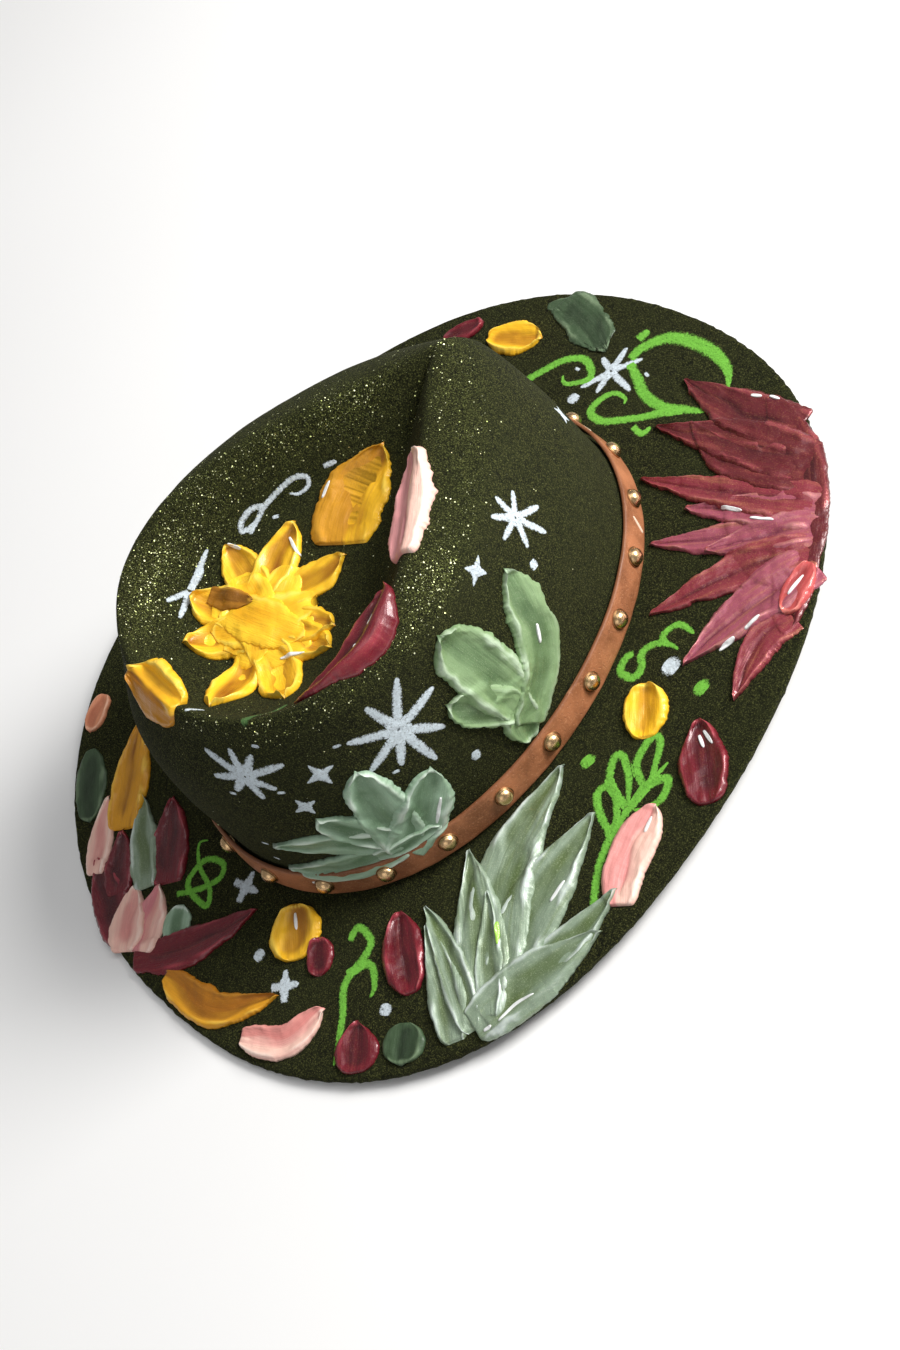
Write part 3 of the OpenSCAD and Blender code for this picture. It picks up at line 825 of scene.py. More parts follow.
def stroke(spine, width, look, seed, **options):
    """Points, faces, colours and UVs of one stroke"""
    o = SimpleNamespace(**{**STROKE, **options})
    ends, ups = spine
    _, _, run = curve(ends, ups, 8)
    rows = max(14, int(run / GRID))
    columns = max(8, int(width / GRID))
    line, up, _ = curve(ends, ups, rows)
    along = unit(np.gradient(line, axis=0))
    across = unit(np.cross(up, along))
    u = np.linspace(0, 1, rows)[:, None]
    v = np.sin(np.linspace(-1, 1, columns) * math.pi / 2 * CROWD)[None] / math.sin(
        math.pi / 2 * CROWD)
    long_mm = u * run
    even = half_width(u, o.root, o.tip, o.peak) * width / 2
    strays = edge_strays(long_mm, np.sign(v), seed, o.ragged)
    reach = np.maximum(even + strays * np.minimum(1, even / 2.5), 0.12)
    slide = o.lean * width / 2 * np.sin(math.pi * u)
    sideways = even * v + (reach - even) * v**5 + slide
    bowed = 0.06 * width * v**2 * step(0.3, 1, u)
    lengthways = tip_frays(u, v, width, seed, o.worn_tip) - bowed
    flat = line[:, None] + across[:, None] * sideways[..., None]
    flat = flat + along[:, None] * lengthways[..., None]
    points, normals = flat.reshape(-1, 3), np.repeat(up, columns, axis=0)

    box = points.min(0) - NEAR, points.max(0) + NEAR
    base = footing(points, normals, (rows, columns), box, o)
    x, y = long_mm + 0 * v, even * v
    height, raised, sunk, wander = relief(u, v, x, y, run, seed, o)
    colour, gleam = tinted(v, x, y, look, seed, raised, sunk, wander, o.sides)
    close = np.minimum(long_mm, run - long_mm)
    if look.chalky:
        soft = np.minimum(1 - np.abs(v) ** 3, np.clip(close / 1.2, 0, 1))
        lift = base + PEN_FILM * (soft * 2 - 1)
        crossed = surface_below(points, normals, touching(inked, box)).reshape(rows, columns)
        gleam = step(1.0, 0.3, np.abs(v)) * step(0.0, min(1.4, run / 8), close) + 0 * gleam
        gleam = np.maximum(gleam, ~np.isnan(crossed))
    else:
        lip = lipped(v, close)
        lift = base + height * lip - SUNK * (1 - np.minimum(1, lip * 2.5))
    points = points + normals * lift.reshape(-1, 1)

    top, rest = closed_faces(rows, columns)
    area = BVHTree.FromPolygons(points.tolist(), top), points.min(0), points.max(0)
    laid.append(area)
    if look.chalky:
        inked.append(area)
    colours = np.concatenate([colour, gleam[..., None]], -1).reshape(-1, 4)
    uv = np.stack([x * MM, (y + width) * MM], -1).reshape(-1, 2)
    return points, top + rest, colours, uv


def joined(name, strokes, material):
    """One piece made of several strokes"""
    points, faces, colours, uvs = [], [], [], []
    total = 0
    for p, f, c, uv in strokes:
        faces += [[i + total for i in face] for face in f]
        total += len(p)
        points.append(p)
        colours.append(c)
        uvs.append(uv)
    return build(name, np.vstack(points), faces, material, np.vstack(colours), np.vstack(uvs))


# Each look: painted shade for the hollows, main colour, painted highlight for the raised parts,
# streak colour, gleam and share of streaks
YOLK = Look((150, 88, 16), (250, 192, 40), (255, 216, 84), (186, 118, 24), 0.3, 0.4)
BUTTER = Look((240, 176, 32), (255, 206, 50), (255, 224, 92), (236, 168, 30), 0.2, 0.35)
AMBER = Look((146, 84, 14), (253, 198, 44), (255, 222, 90), (184, 116, 24), 0.4, 0.45)
OCHRE = Look((138, 84, 18), (222, 156, 34), (250, 200, 76), (120, 72, 22), 0.4, 0.4)
SMEAR = Look((120, 76, 20), (156, 104, 28), (196, 144, 48), (110, 66, 22), 0.3, 0.5)
WINE = Look((58, 10, 20), (106, 22, 36), (164, 60, 74), (140, 50, 54), 0.3, 0.3)
ROSE = Look((84, 22, 36), (136, 50, 62), (190, 104, 106), (180, 112, 84), 0.9, 0.5)
PLUM = Look((52, 12, 20), (94, 28, 36), (150, 66, 74), (136, 62, 58), 0.5, 0.5)
MAUVE = Look((108, 42, 62), (158, 78, 96), (208, 134, 138), (198, 130, 98), 0.9, 0.5)
MIST = Look((86, 104, 60), (136, 154, 132), (206, 218, 212), (114, 132, 88), 0.6, 0.45)
SUCCULENT = Look((74, 102, 62), (130, 158, 112), (186, 206, 178), (96, 124, 82), 0.3, 0.45)
JADE = Look((84, 114, 82), (148, 176, 150), (208, 222, 210), (108, 138, 104), 0.4, 0.45)
BLUSH = Look((218, 144, 138), (246, 200, 184), (254, 230, 216), (224, 152, 146), 0.2, 0.4)
CORAL = Look((140, 48, 52), (190, 78, 78), (226, 132, 122), (214, 104, 84), 0.3, 0.4)
MOSS = Look((36, 50, 32), (62, 82, 56), (108, 128, 98), (50, 66, 44), 0.2, 0.35)
PEACHY = Look((170, 96, 70), (214, 140, 104), (240, 188, 156), (190, 110, 80), 0.2, 0.35)
CHALK_WHITE = Look((200, 212, 220), (214, 226, 234), (226, 236, 242), (204, 216, 222), 1, 0, True)
CHALK_GREEN = Look((104, 172, 60), (120, 192, 72), (150, 214, 98), (96, 164, 56), 1, 0.3, True)
CHALK_SMEAR = Look((70, 104, 58), (84, 120, 70), (104, 140, 90), (70, 104, 58), 1, 0.3, True)
SNOW = Look((226, 228, 226), (240, 242, 242), (250, 250, 250), (236, 236, 232), 0.1, 0.1)
LIME = Look((140, 186, 60), (164, 212, 84), (196, 232, 130), (140, 190, 70), 0.1, 0.2)
CREAM = Look((214, 184, 156), (228, 204, 180), (240, 222, 204), (206, 172, 142), 0.1, 0.2)

seeds = iter(range(100, 100000, 13))
pen_seeds = iter(range(50, 100000, 17))


def lay(places, width, look, **options):
    """One stroke along places on the felt"""
    return stroke(path(*places), width, look, next(seeds), **options)


def fan(look, options, *leaves):
    """Strokes of one kind, each given as its width and its places on the felt"""
    return [lay(places, width, look, **options) for width, *places in leaves]


def cluster(node, paint, *strokes):
    """The visual piece of one body of thick paint"""
    place_on(joined(node + "_visual", strokes, PAINTS[paint]), node, finish=paint)


# ---- Paint-pen marks ----

PEN = dict(thick=0.16, rim=0.0, hollow=0.0, lines=0.03, press=1.0, ragged=0.3, root=0.85,
           tip=0.0, peak=0.5)
PEN_SPREAD = 1.65                 # how much wider a pen's soft edges make its line


def drawn(spine, width, look=CHALK_WHITE, **options):
    """One line of the paint pen"""
    return stroke(spine, width * PEN_SPREAD, look, next(pen_seeds), **{**PEN, **options})


def line(places, width, look=CHALK_WHITE, **options):
    return drawn(path(*places), width, look, **options)


def flake(place, tips, width=3.0):
    """A snowflake of straight rays"""
    return [line([place, tip], width) for tip in tips]


def dot(place, radius, look=CHALK_WHITE, stretch=1.0):
    reach = radius * stretch
    spine = around(place, (-reach * 0.3, -reach), (reach * 0.3, reach))
    return drawn(spine, 2 * radius, look, root=0.0)


def rays(place, start, end, width, turns, **options):
    """Straight lines from one distance to another, along several directions"""
    lines = []
    for turn in turns:
        c, s = math.cos(math.radians(turn)), math.sin(math.radians(turn))
        lines.append(drawn(around(place, (start * c, start * s), (end * c, end * s)), width,
                           **options))
    return lines


def sparkle(place, reach, spin=0.0):
    """A four-pointed star"""
    return rays(place, -1.5, 1.3 * reach, 3.0, [spin + a for a in (0, 90, 180, 270)], root=0.4,
                tip=1.0, peak=0.25)


def plus(place, reach, spin=0.0):
    """Two crossed lines"""
    return rays(place, -reach, reach, 3.2, (spin, spin + 90))


white = [
    *flake((158, 5.7), [(162, 6.8), (169.5, 5.8), (166, 5.2), (160, 4.88), (153.5, 5.2),
                        (147, 5.42), (146, 6.2), (152, 6.75)], 3.3),
    *flake((119, 6.3), [(114, 7.05), (106, 6.88), (109, 6.3), (115, 5.95), (122, 5.7),
                        (127, 5.85), (130.5, 6.4), (121, 6.8)], 2.9),
    *flake((276, 1.1), [(280, 0.92), (276, 0.68), (271.5, 0.76), (269, 1.24), (276, 1.42),
                        (281, 1.4)], 2.8),
    *flake((40, 9.76), [(47, 9.35), (28, 9.8), (54, 9.64), (20, 9.62), (46, 10.1)], 2.2),
    *flake((208, 5.95), [(209, 6.62), (213.5, 6.2), (214.5, 5.56), (210, 5.34), (204, 5.55),
                         (201.5, 6.1), (204, 6.62)], 2.4),
    *sparkle((192, 6.5), 4.6, 20), *sparkle((138, 5.84), 5.2, 10), *sparkle((130, 5.4), 4.2, 15),
    *plus((91, 1.7), 7.4, 10), *plus((109.6, 0.9), 7, 20), *plus((16, 5.9), 5.0, 8),
    dot((166, 4.55), 1.7, stretch=1.6), dot((202, 5.4), 1.5, stretch=1.5),
    dot((102, 1.14), 2.1, stretch=1.4), dot((130, 0.66), 2.3, stretch=1.2),
    dot((281, 1.54), 2.3, stretch=1.3), dot((198, 1.32), 3.4, stretch=1.1),
    *[dot(place, 1.25) for place in ((144, 6.26), (152, 5.2), (122, 7.02), (127, 5.78),
                                     (114, 5.9), (110, 4.68), (107, 4.26), (269, 0.96),
                                     (284, 1.16), (350, 10.08))],
    line([(4, 10.08), (358, 9.88), (353, 9.7), (346, 9.56), (340, 9.48), (336, 9.58),
          (336, 9.78), (340, 9.84), (344, 9.7)], 2.0),
    line([(353, 9.74), (357, 9.6), (364, 9.7), (366, 9.9), (359, 9.9)], 2.0),
    line([(330, 9.54), (324, 9.56)], 1.8), line([(100, 8.0), (104, 8.6)], 1.6),
    *flake((-20, 5.5), [(-16, 6.3), (-12, 5.6), (-17, 4.9), (-24, 4.9), (-28, 5.6), (-23, 6.3)]),
    *flake((330, 5.3), [(334, 6.1), (338, 5.3), (333, 4.7), (326, 4.75), (322, 5.4), (327, 6.1)]),
    *flake((40, 5.6), [(44, 6.4), (48, 5.6), (43, 5.0), (37, 4.95), (32, 5.6), (36, 6.4)]),
    *sparkle((60, 5.2), 4.6, 10), *sparkle((348, 4.9), 4.4, 12), *sparkle((250, 5.0), 4.4),
    *plus((335, 1.1), 5.2, 15), dot((28, 5.0), 1.6), dot((344, 6.0), 1.4), dot((352, 1.6), 1.9),
]
green = [
    line([(274, 0.86), (273, 0.62), (270, 0.36), (264, 0.28), (258, 0.34), (253.5, 0.52)], 5.6,
         CHALK_GREEN, root=0.5, tip=0.5, peak=0.55),
    line([(273.5, 0.9), (270, 1.06), (266, 1.2), (260, 1.2), (256, 1.06), (252, 0.88)], 4.4,
         CHALK_GREEN, root=0.5),
    line([(256, 1.06), (260, 1.32), (265, 1.56), (270, 1.72), (274, 1.66), (274, 1.48),
          (272, 1.34), (269, 1.34), (268, 1.42)], 3.4, CHALK_GREEN),
    line([(262, 1.56), (258, 1.56), (258, 1.42)], 2.8, CHALK_GREEN),
    line([(305, 1.5), (298, 1.36), (292, 1.18), (288, 1.04), (284, 1.0), (281, 1.12),
          (280, 1.26), (284, 1.36), (286, 1.34), (287, 1.24)], 3.4, CHALK_GREEN),
    line([(275, 0.56), (274, 0.36)], 4.0, CHALK_GREEN),
    line([(200, 1.8), (199, 2.02), (196, 1.98), (195, 1.68), (197, 1.62), (200, 1.7),
          (202, 1.6), (202, 1.42), (201, 1.3)], 3.0, CHALK_GREEN),
    line([(202, 1.46), (204, 1.52), (206, 1.4), (204, 1.2)], 2.6, CHALK_GREEN),
    line([(165.5, 0.42), (169, 0.68), (173, 0.82), (177, 0.86), (180, 0.84), (184, 0.78)], 3.0,
         CHALK_GREEN),
    *[line(loop, 3.0, CHALK_GREEN) for loop in (
        [(173, 0.82), (174, 1.1), (176, 1.28), (178, 1.2), (176, 0.98), (173.4, 0.84)],
        [(177, 0.88), (178, 1.22), (181, 1.36), (182, 1.3), (180, 1.1), (177.3, 0.9)],
        [(180, 0.88), (182, 1.12), (186, 1.14), (186, 1.02), (182, 0.88), (180.4, 0.86)],
        [(177, 0.84), (180, 0.84), (182, 0.68), (180, 0.6), (178, 0.7), (177.2, 0.82)],
        [(173, 0.82), (175, 0.76), (174, 0.66), (172, 0.62), (170, 0.68)])],
    line([(79, 1.02), (82, 1.28), (84, 1.54), (82, 1.7), (78, 1.56), (78, 1.34), (80, 1.2),
          (86, 1.22), (84, 1.38), (78, 1.44), (73, 1.56), (74, 1.72)], 2.6, CHALK_GREEN),
    line([(122, 1.42), (124, 1.56), (127, 1.42), (126, 1.28), (122, 0.98), (122, 0.6),
          (121, 0.12)], 3.0, CHALK_GREEN),
    line([(122, 1.1), (127, 1.18), (128, 0.94), (127, 0.8)], 2.8, CHALK_GREEN),
    dot((195, 0.88), 3.0, CHALK_GREEN), dot((179, 1.6), 2.8, CHALK_GREEN),
    line([(30, 1.3), (36, 1.5), (42, 1.3), (40, 1.05), (35, 1.1), (36, 1.3)], 3.0, CHALK_GREEN),
    line([(340, 0.6), (333, 0.8), (330, 0.55), (336, 0.4)], 3.0, CHALK_GREEN),
    dot((345, 1.2), 2.6, CHALK_GREEN), dot((52, 1.7), 2.6, CHALK_GREEN),
]
green.append(line([(119, 7.85), (124, 8.6), (129, 9.3)], 3.2, CHALK_SMEAR))
place_on(joined("white_pen_marks", white, WHITE_PEN), finish="peach_paint")
place_on(joined("green_pen_marks", green, GREEN_PEN), finish="green_paint")

# ---- Thick paint ----

as_ground(strap)
# Kinds of stroke: round dabs, knife marks, narrow pointed leaves, broad lobes and blades
DAB = dict(root=0.0, tip=0.0, peak=0.5)
KNIFE = dict(root=0.55, tip=0.75, peak=0.4, worn_tip=0.5)
LANCE = dict(root=0.75, tip=0.95, peak=0.28, rim=0.8, hollow=0.45, crease=0.5, lines=0.13,
             ragged=0.7, thin_root=0.7)
LOBE = dict(root=0.7, tip=0.25, peak=0.55, thick=1.9, rim=1.3, hollow=1.1, lines=0.2, ragged=0.9)
BLADE = dict(root=0.45, tip=0.9, peak=0.36, thick=1.9, rim=1.05, hollow=0.9, lines=0.15,
             ragged=0.42, lump=0.3)


def flower():
    """A wide smooth heart of thick yellow paint with petals drawn out of it"""
    petals = [
        ((10, 11.5), (338, 10.36), 19), ((330, 11.8), (237, 10.84), 17),
        ((200, 11.95), (182, 10.76), 16), ((150, 11.9), (164, 10.56), 16),
        ((100, 11.8), (125, 9.62), 18), ((80, 11.6), (102, 8.9), 16),
        ((40, 11.7), (65, 9.6), 18), ((20, 11.6), (42, 9.75), 18), ((355, 11.6), (15, 9.82), 18),
    ]
    heart = lay([(30, 10.5), (32, 11.84), (168, 11.0)], 35, BUTTER, thick=2.4, rim=0.0,
                hollow=0.0, lines=0.05, ragged=1.2, lump=0.5, **DAB)
    strokes = [heart]
    strokes += [
        lay([start, end], width, AMBER, rim=1.5, hollow=1.2, root=0.6, tip=0.65, peak=0.55,
            lines=0.14, ragged=0.6, thin_root=1.0, blend=0.9, passes=24, lump=0.3)
        for start, end, width in petals[::-1]
    ]
    pulls = [
        ((324, 11.1), (30, 11.9), (67, 10.9), 19), ((218, 11.35), (40, 11.9), (54, 10.5), 20),
        ((12, 10.6), (40, 11.8), (110, 11.2), 19), ((27, 10.8), (30, 11.8), (174, 11.2), 20),
    ]
    strokes += [
        lay(places, width, BUTTER, thick=0.9, rim=0.15, hollow=0.25, lines=0.08, press=0.97,
            ragged=0.9, lump=0.3, blend=0.95, passes=30, tip=0.35, peak=0.5, thin_root=1.0,
            thin_tip=1.0)
        for *places, width in pulls
    ]
    strokes.append(lay([(36, 10.25), (24, 10.75), (2, 11.45)], 9, SMEAR, thick=0.7, rim=0.25,
                       hollow=0.1, press=1.0, lines=0.25, worn_tip=0.9, root=0.6, tip=0.3,
                       peak=0.5))
    return strokes


cluster("crown_yellow_flower", "yellow_paint", *flower())
cluster("crown_yellow_petal", "yellow_paint",
        lay([(250, 10.86), (290, 10.6), (303, 9.6)], 30, YOLK, thick=1.9, rim=1.3,
            hollow=1.0, crease=0.3, root=0.65, tip=0.6, peak=0.36, lines=0.2,
            sides=(196, 134, 34), ragged=1.0, lean=0.12))
cluster("crown_pink_petal", "pink_paint",
        stroke(upright(path((187, 8.3), (200, 8.35), (213, 8.5), (221, 8.8))), 20, BLUSH,
               next(seeds), thick=2.6, rim=0.8, hollow=0.4, crease=1.0, root=0.6, tip=0.4,
               peak=0.45, sides=(222, 146, 150), ragged=1.0, worn_tip=0.8, drop=3))
cluster("crown_burgundy_stroke", "burgundy_paint",
        stroke(upright(path((133, 9.1), (148, 8.9), (163, 8.6), (181, 8.9))), 23, WINE,
               next(seeds), thick=3.4, rim=1.1, hollow=1.0, root=0.1, tip=0.0, peak=0.78,
               lines=0.12, thin_root=0.6, drop=2.5))
cluster("crown_rim_yellow_petal", "yellow_paint",
        stroke(upright(path((97, 7.7), (74, 7.7)), 0.4), 23, YOLK, next(seeds), thick=1.9,
               rim=1.1, hollow=0.9, crease=0.6, root=0.3, tip=0.3, peak=0.5,
               sides=(178, 112, 24), worn_tip=0.6, ragged=0.7, drop=4))

# Succulents on the wall of the crown
cluster("crown_side_succulent", "sage_paint",
        *fan(SUCCULENT, LOBE,
             (17, (179, 4.9), (175.5, 3.95)), (18, (178, 4.6), (168.5, 5.45)),
             (24, (179, 4.6), (178, 5.6), (175, 6.65)),
             (21, (177, 4.3), (189, 4.75), (197, 5.85))))
cluster("crown_band_succulent", "sage_paint",
        *fan(JADE, KNIFE, (15, (141, 4.05), (125, 4.05), (109, 4.1)),
             (15, (142, 4.2), (128, 4.6), (113, 4.72))),
        *fan(JADE, LOBE, (15, (141, 4.3), (130, 5.15)), (21, (142, 4.0), (145, 5.6)),
             (22, (140, 3.9), (149, 4.4), (158, 4.9))),
        *fan(JADE, KNIFE, (9, (134, 4.15), (151, 4.1))))
cluster("crown_far_succulent", "sage_paint",
        *fan(SUCCULENT, LOBE, (19, (0, 4.35), (-14, 5.4)), (18, (0, 4.35), (12, 5.3)),
             (19, (0, 4.35), (-2, 6.1))))

cluster("front_burgundy_agave", "burgundy_paint",
        lay([(245, 0.6), (228, 0.75), (211, 0.5)], 24, PLUM, thick=0.9, rim=0.3, hollow=0.0,
            **DAB),
        lay([(247, 0.18), (228, 0.2), (203, 0.18)], 20, PLUM, thick=1.1, rim=0.4, hollow=0.1,
            **DAB),
        *fan(MAUVE, LANCE, (17, (219, 0.04), (226, 2.4)), (19, (222, 0.04), (232, 1.5))),
        *fan(ROSE, LANCE, (19, (223, 0.02), (246, 2.22))),
        *fan(PLUM, LANCE, (22, (229, 0.1), (239, 0.9), (252, 1.12)),
             (24, (231, 0.1), (242, 0.78), (257, 1.42)),
             (24, (238, 0.1), (247, 0.54), (262, 0.78))),
        *fan(MAUVE, LANCE, (17, (220, 0.06), (220, 1.3))),
        *fan(ROSE, LANCE, (19, (216, 0.06), (215, 0.84), (208, 1.8)),
             (16, (206, 0.16), (202, 0.42), (193.5, 0.44))),
        *fan(MAUVE, LANCE, (23, (214, 0.06), (207.5, 0.7), (198, 1.2))),
        lay([(214, 0.1), (206, 0.24)], 11, CORAL, thick=1.6, rim=0.9, hollow=0.9, **DAB))
cluster("front_sage_patch", "sage_paint",
        lay([(296, 0.16), (287, 0.14)], 9, MOSS, thick=0.6, rim=0.2, hollow=0.0, press=0.8, **DAB),
        lay([(293, 0.1), (287, 0.42), (280, 0.82)], 21, MOSS, thick=0.8, rim=0.35, hollow=0.2,
            lines=0.2, worn_tip=1.6, ragged=1.1, root=0.6, tip=0.2, peak=0.4))
cluster("front_yellow_dab", "yellow_paint",
        lay([(307, 0.5), (295, 0.66)], 18, YOLK, thick=1.8, rim=1.1, hollow=1.3, ragged=0.7, **DAB))
cluster("front_burgundy_dab", "burgundy_paint",
        lay([(316, 0.3), (308, 0.22)], 10, WINE, thick=1.6, **DAB))
cluster("side_yellow_dab", "yellow_paint",
        lay([(185.5, 1.2), (194.5, 1.5)], 17.5, YOLK, thick=2.0, rim=1.2, hollow=1.4,
            crease=0.6, ragged=0.7, **DAB))
cluster("side_burgundy_petal", "burgundy_paint",
        lay([(181.5, 0.1), (190.5, 0.72)], 19, WINE, thick=2.1, rim=1.0, hollow=1.2, root=0.1,
            tip=0.55, peak=0.45, worn_tip=0.6))
cluster("side_pink_petal", "pink_paint",
        lay([(168.3, 0.2), (171.5, 0.44), (179.3, 0.62)], 17, BLUSH, thick=2.0, rim=0.7,
            hollow=0.7, crease=0.8, root=0.4, tip=0.2, peak=0.55, sides=(214, 132, 130),
            ragged=0.4))
cluster("side_sage_agave", "sage_paint",
        lay([(145, 0.3), (150, 0.7), (156, 0.8)], 22, MIST, thick=0.9, rim=0.3, hollow=0, **DAB),
        *fan(MIST, BLADE,
             (16, (141, 0.12), (141, 0.68), (139.6, 1.4)),
             (19, (146, 0.18), (158, 0.3), (169.5, 0.34)),
             (25, (150, 0.5), (162, 1.0), (174, 1.16)),
             (27, (148, 0.4), (157, 1.4), (176.5, 1.88)),
             (24, (146, 0.16), (149.5, 1.2), (152, 2.32)),
             (14, (144, 0.14), (143, 0.84), (139.8, 1.58)),
             (12, (147, 0.16), (153, 1.35)), (22, (144, 0.18), (154, 0.26), (165, 0.16))))
cluster("rear_burgundy_petal", "burgundy_paint",
        lay([(135, 0.74), (134, 1.2), (134, 1.64)], 17.5, WINE, thick=1.9, rim=0.9, hollow=1.1,
            crease=0.4, root=0.2, tip=0.3, peak=0.5))
cluster("rear_green_dab", "green_paint",
        lay([(133.6, 0.48), (132.2, 0.06)], 18, MOSS, thick=1.3, rim=0.5, hollow=0.5, **DAB))
cluster("rear_burgundy_dab", "burgundy_paint",
        lay([(125, 0.06), (125, 0.6)], 18.5, WINE, thick=1.8, rim=0.8, hollow=1.0, root=0.2,
            tip=0.7, peak=0.4))
cluster("rear_pink_petal", "pink_paint",
        lay([(104, 0.2), (112, 0.32), (118.5, 0.72)], 14, BLUSH, thick=1.9, rim=0.7, hollow=0.6,
            root=0.3, tip=0.2, peak=0.6, sides=(214, 130, 124), worn_tip=0.4))
cluster("rear_yellow_petal", "yellow_paint",
        lay([(88.5, 0.24), (98, 0.36), (109, 0.78)], 15, OCHRE, thick=1.7, rim=1.1, hollow=0.9,
            root=0.2, tip=0.6, peak=0.4, sides=(168, 104, 26), lean=-0.15))
cluster("back_yellow_dab", "yellow_paint",
        lay([(110.5, 1.2), (106, 1.84)], 23, YOLK, thick=2.0, rim=1.3, hollow=1.5, ragged=0.8,
            **DAB))
cluster("back_burgundy_dab", "burgundy_paint",
        lay([(116.5, 1.08), (115, 1.48)], 11.5, WINE, thick=1.4, **DAB))
cluster("back_sage_dab", "sage_paint",
        lay([(86, 0.56), (82, 1.04)], 14, JADE, thick=1.0, rim=0.5, hollow=0.3, **DAB))
cluster("back_burgundy_leaf", "burgundy_paint",
        lay([(83, 0.08), (89, 0.74), (97, 1.56)], 16.5, WINE, thick=1.5, rim=0.7, hollow=0.5,
            crease=0.5, root=0.5, tip=0.9, peak=0.4, lines=0.2))
cluster("left_burgundy_petals", "burgundy_paint",
        *fan(WINE, KNIFE, (19, (79, 0.12), (63, 0.24)), (15, (72, 0.34), (60, 0.66)),
             (20, (76, 1.0), (58, 1.42))))
cluster("left_pink_petal", "pink_paint",
        lay([(66, 0.14), (52, 0.5)], 13, BLUSH, thick=1.6, rim=0.6, hollow=0.5, **KNIFE),
        lay([(83, 0.2), (75, 0.92)], 17, BLUSH, thick=1.8, rim=0.7, hollow=0.6,
            sides=(206, 120, 130), **KNIFE),
        lay([(81, 0.04), (72, 0.62)], 18, BLUSH, thick=1.9, rim=0.7, hollow=0.6, **KNIFE))
cluster("left_sage_stroke", "sage_paint",
        lay([(74, 0.72), (54, 1.0)], 14, MIST, lines=0.3, **KNIFE))
cluster("left_ochre_petal", "yellow_paint",
        lay([(60, 0.64), (38, 0.84)], 20, OCHRE, thick=1.7, rim=0.9, hollow=0.7, crease=0.5,
            **KNIFE))
cluster("left_green_dab", "green_paint",
        lay([(42, 0.2), (56, 0.2)], 16, MOSS, thick=1.1, rim=0.5, hollow=0.4, **DAB))
cluster("left_peach_dab", "peach_paint",
        lay([(32, 0.2), (39, 0.12)], 12, PEACHY, thick=1.5, rim=0.6, hollow=0.6, **DAB))

# The side that faces away in the photograph
cluster("far_sage_fan", "sage_paint",
        *fan(MIST, BLADE, (14, (-10, 0.2), (-28, 0.9)), (15, (-5, 0.2), (4, 1.4)),
             (17, (-9, 0.15), (-19, 1.7)), (17, (-7, 0.15), (-7, 2.05))))
cluster("far_yellow_petal", "yellow_paint",
        lay([(12, 0.35), (20, 1.0)], 15, YOLK, thick=1.8, rim=1.0, hollow=0.9, root=0.2, tip=0.6,
            peak=0.45))
cluster("far_burgundy_petal", "burgundy_paint",
        lay([(322, 0.5), (318, 1.4)], 14, WINE, thick=1.8, rim=0.9, hollow=1.0, **KNIFE))
cluster("far_pink_petal", "pink_paint",
        lay([(14, 1.75), (26, 1.5)], 13, BLUSH, thick=1.8, rim=0.7, hollow=0.6,
            sides=(208, 120, 112), root=0.3, tip=0.3, peak=0.5))

# ---- Highlights ----


# How a painted highlight, and each small mark like it, is laid
GLINT = dict(thick=0.45, rim=0.0, hollow=0.0, lines=0.02, press=1.0, ragged=0.12, root=0.2,
             tip=0.0, peak=0.5)


def on_strap(*places):
    """The points and normals of places on the strap, each a turn and a height"""
    turns, heights = np.array(places, float).T
    return oval(turns, 1.5, heights), unit(oval(turns, 30, heights) - oval(turns, 0, heights))


def scuff(places, width):
    settings = {**GLINT, "thick": 0.3, "ragged": 0.2, "tip": 0.3}
    return stroke(on_strap(*places), width, CREAM, next(seeds), **settings)


# Painted highlights: dashes of white where the light catches the petals' gloss
glints = [lay(places, 1.5, SNOW, **GLINT) for places in (
    [(249, 0.38), (247.4, 0.28)], [(246.6, 0.22), (245, 0.14)], [(228.5, 1.12), (226, 0.86)],
    [(224, 0.78), (222, 0.5)], [(204, 0.62), (206, 0.48)], [(201, 0.86), (203, 0.7)],
    [(209, 0.26), (212, 0.14)], [(161, 0.78), (164.5, 0.84)],
    [(148, 0.08), (151, 0.14), (154, 0.1)], [(145.5, 0.08), (147, 0.08)],
    [(192.5, 5.0), (190, 4.78)], [(155, 4.5), (150, 4.16)], [(114, 3.66), (119, 3.7)],
    [(338, 10.56), (318, 10.98)], [(14, 9.86), (8, 10.26)], [(140, 11.28), (160, 10.92)],
    [(326, 10.26), (326, 9.92)], [(174, 8.8), (167, 8.7)], [(161, 8.66), (159, 8.66)],
    [(188.3, 0.62), (186.8, 0.48)], [(189, 0.6), (187.5, 0.4)], [(107, 1.7), (109, 1.5)],
    [(178, 0.56), (176, 0.5)],
)]
lime_dash = {**GLINT, "thick": 0.5, "ragged": 0.2}
glints.append(lay([(152.6, 0.98), (151.4, 0.74)], 1.8, LIME, **lime_dash))
glints.append(scuff([(273, 15), (266, 14)], 2.0))
glints.append(scuff([(228, 11.5), (231, 18)], 1.2))
place_on(joined("white_highlights", glints, WHITE_GLOSS), finish="peach_paint")


# ---- Gold glitter ----


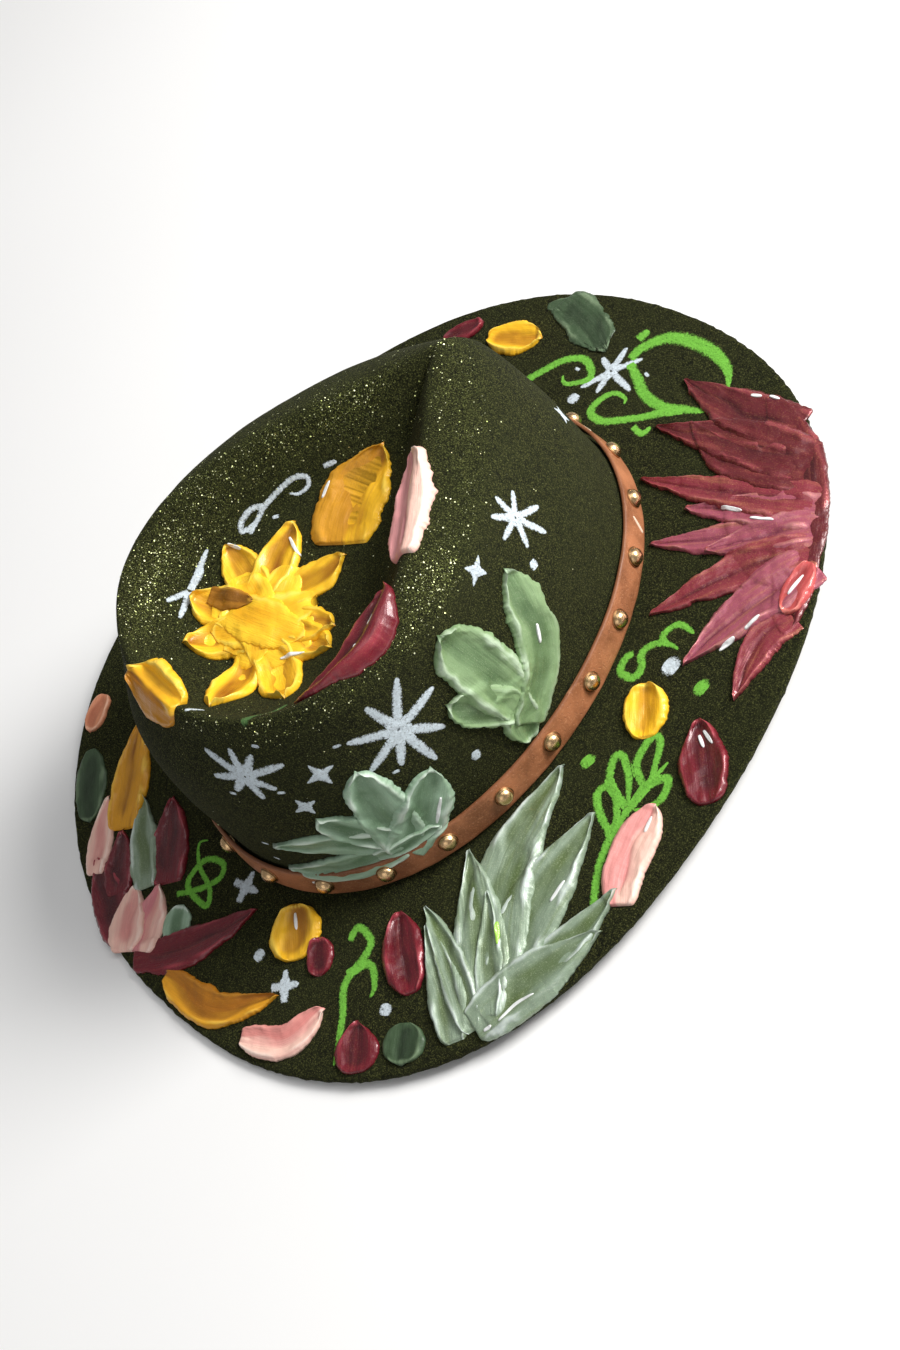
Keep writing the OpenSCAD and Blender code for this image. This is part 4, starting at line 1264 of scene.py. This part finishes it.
def glitter(count=12000):
    """Loose gold flakes where the dust lies, each a tiny closed hexagonal chip"""
    rng = np.random.default_rng(7)
    turn, station = rng.uniform(0, 360, count * 8), rng.uniform(3.9, 11.9, count * 8)
    chance = gold_dust(turn, station) ** 1.6 * (0.25 + skin(turn, station)[:, 0] ** 2 / 8000)
    keep = np.flatnonzero(rng.uniform(0, 1, len(turn)) < chance + 0.004)[:count]
    turn, station = turn[keep], station[keep]
    place, up = skin(turn, station), outward(turn, station)
    place = place + up * (waviness(turn, station)[:, None] + 0.12)
    tilt = unit(up + rng.normal(0, 0.35, place.shape))
    side = unit(np.cross(tilt, rng.normal(0, 1, place.shape)))
    other = np.cross(tilt, side)
    size = (0.08 + 0.26 * rng.uniform(0, 1, len(keep)) ** 3)[:, None]
    corners = [place + size * (math.cos(a) * side + math.sin(a) * other)
               for a in np.arange(6) * math.pi / 3]
    points = np.stack([*corners, place + 0.04 * tilt, place - 0.04 * tilt], 1)
    faces = []
    for first in range(0, len(keep) * 8, 8):
        for j in range(6):
            k = (j + 1) % 6
            faces.append([first + j, first + k, first + 6])
            faces.append([first + k, first + j, first + 7])
    tint = np.repeat(rng.uniform(0, 1, len(keep)), 8)
    return build("gold_glitter", points.reshape(-1, 3), faces, GLITTER, smooth=False,
                 extra={"edge": tint})


place_on(glitter(), finish="antique_brass")

# ---- Kept CAD nodes, floor, lights and camera ----

for node, material in (("sweatband_stitching", THREAD), ("stud_backs", BRASS)):
    for obj in bpy.data.objects:
        if obj.name.startswith(node) and obj.type == "MESH":
            obj.data.materials.clear()
            obj.data.materials.append(material)


def floor():
    n = Nodes("floor")
    soft = n.mix(n.ramp(n.noise(1.5, 2, 0.5), 0.3, 0.7), (0.86, 0.86, 0.86, 1), (0.9, 0.9, 0.9, 1))
    n.finish(Base_Color=soft, Roughness=0.9, Specular_IOR_Level=0.1)
    half = 6000
    corners = [(-half, -half, 0), (half, -half, 0), (half, half, 0), (-half, half, 0)]
    build("floor", corners, [[0, 1, 2, 3]], n.material, smooth=False)


def area_light(name, direction, distance, size, power, tint=(1, 1, 1)):
    lamp = bpy.data.lights.new(name, "AREA")
    lamp.size, lamp.energy, lamp.color = size, power, tint
    holder = bpy.data.objects.new(name, lamp)
    place = Vector(direction).normalized() * distance
    holder.location = place + Vector((0, 0, 0.04))
    holder.rotation_euler = place.to_track_quat("Z", "Y").to_euler()
    bpy.context.scene.collection.objects.link(holder)


def camera():
    """The photograph's angle: seen from above the wearer's right side, turned in its frame"""
    azimuth, elevation, roll = (math.radians(a) for a in (171.788, 49.344, -46.182))
    distance, target = 0.682, Vector((-0.04685, 0.00863, 0.04))
    back = Vector((math.cos(elevation) * math.cos(azimuth),
                   math.cos(elevation) * math.sin(azimuth), math.sin(elevation)))
    level = Vector((-math.sin(azimuth), math.cos(azimuth), 0))
    right = math.cos(roll) * level + math.sin(roll) * back.cross(level)
    turned = Matrix((right, back.cross(right), back)).transposed().to_4x4()
    data = bpy.data.cameras.new("photo_camera")
    data.lens, data.sensor_width = 50, 36
    holder = bpy.data.objects.new("photo_camera", data)
    holder.matrix_world = Matrix.Translation(target + distance * back) @ turned
    bpy.context.scene.collection.objects.link(holder)
    bpy.context.scene.camera = holder


floor()
area_light("key", (-0.5, -0.85, 0.66), 1.5, 0.6, 35, (1, 0.985, 0.96))
area_light("top", (-0.1, -0.3, 1), 1.8, 1.2, 7)
area_light("fill", (-0.6, 0.8, 0.6), 2.0, 1.4, 5)
camera()
world = bpy.data.worlds.new("studio")
world.use_nodes = True
background = world.node_tree.nodes["Background"]
background.inputs["Color"].default_value = (1, 1, 1, 1)
background.inputs["Strength"].default_value = 0.24
bpy.context.scene.world = world
bpy.context.scene.view_settings.view_transform = "Standard"
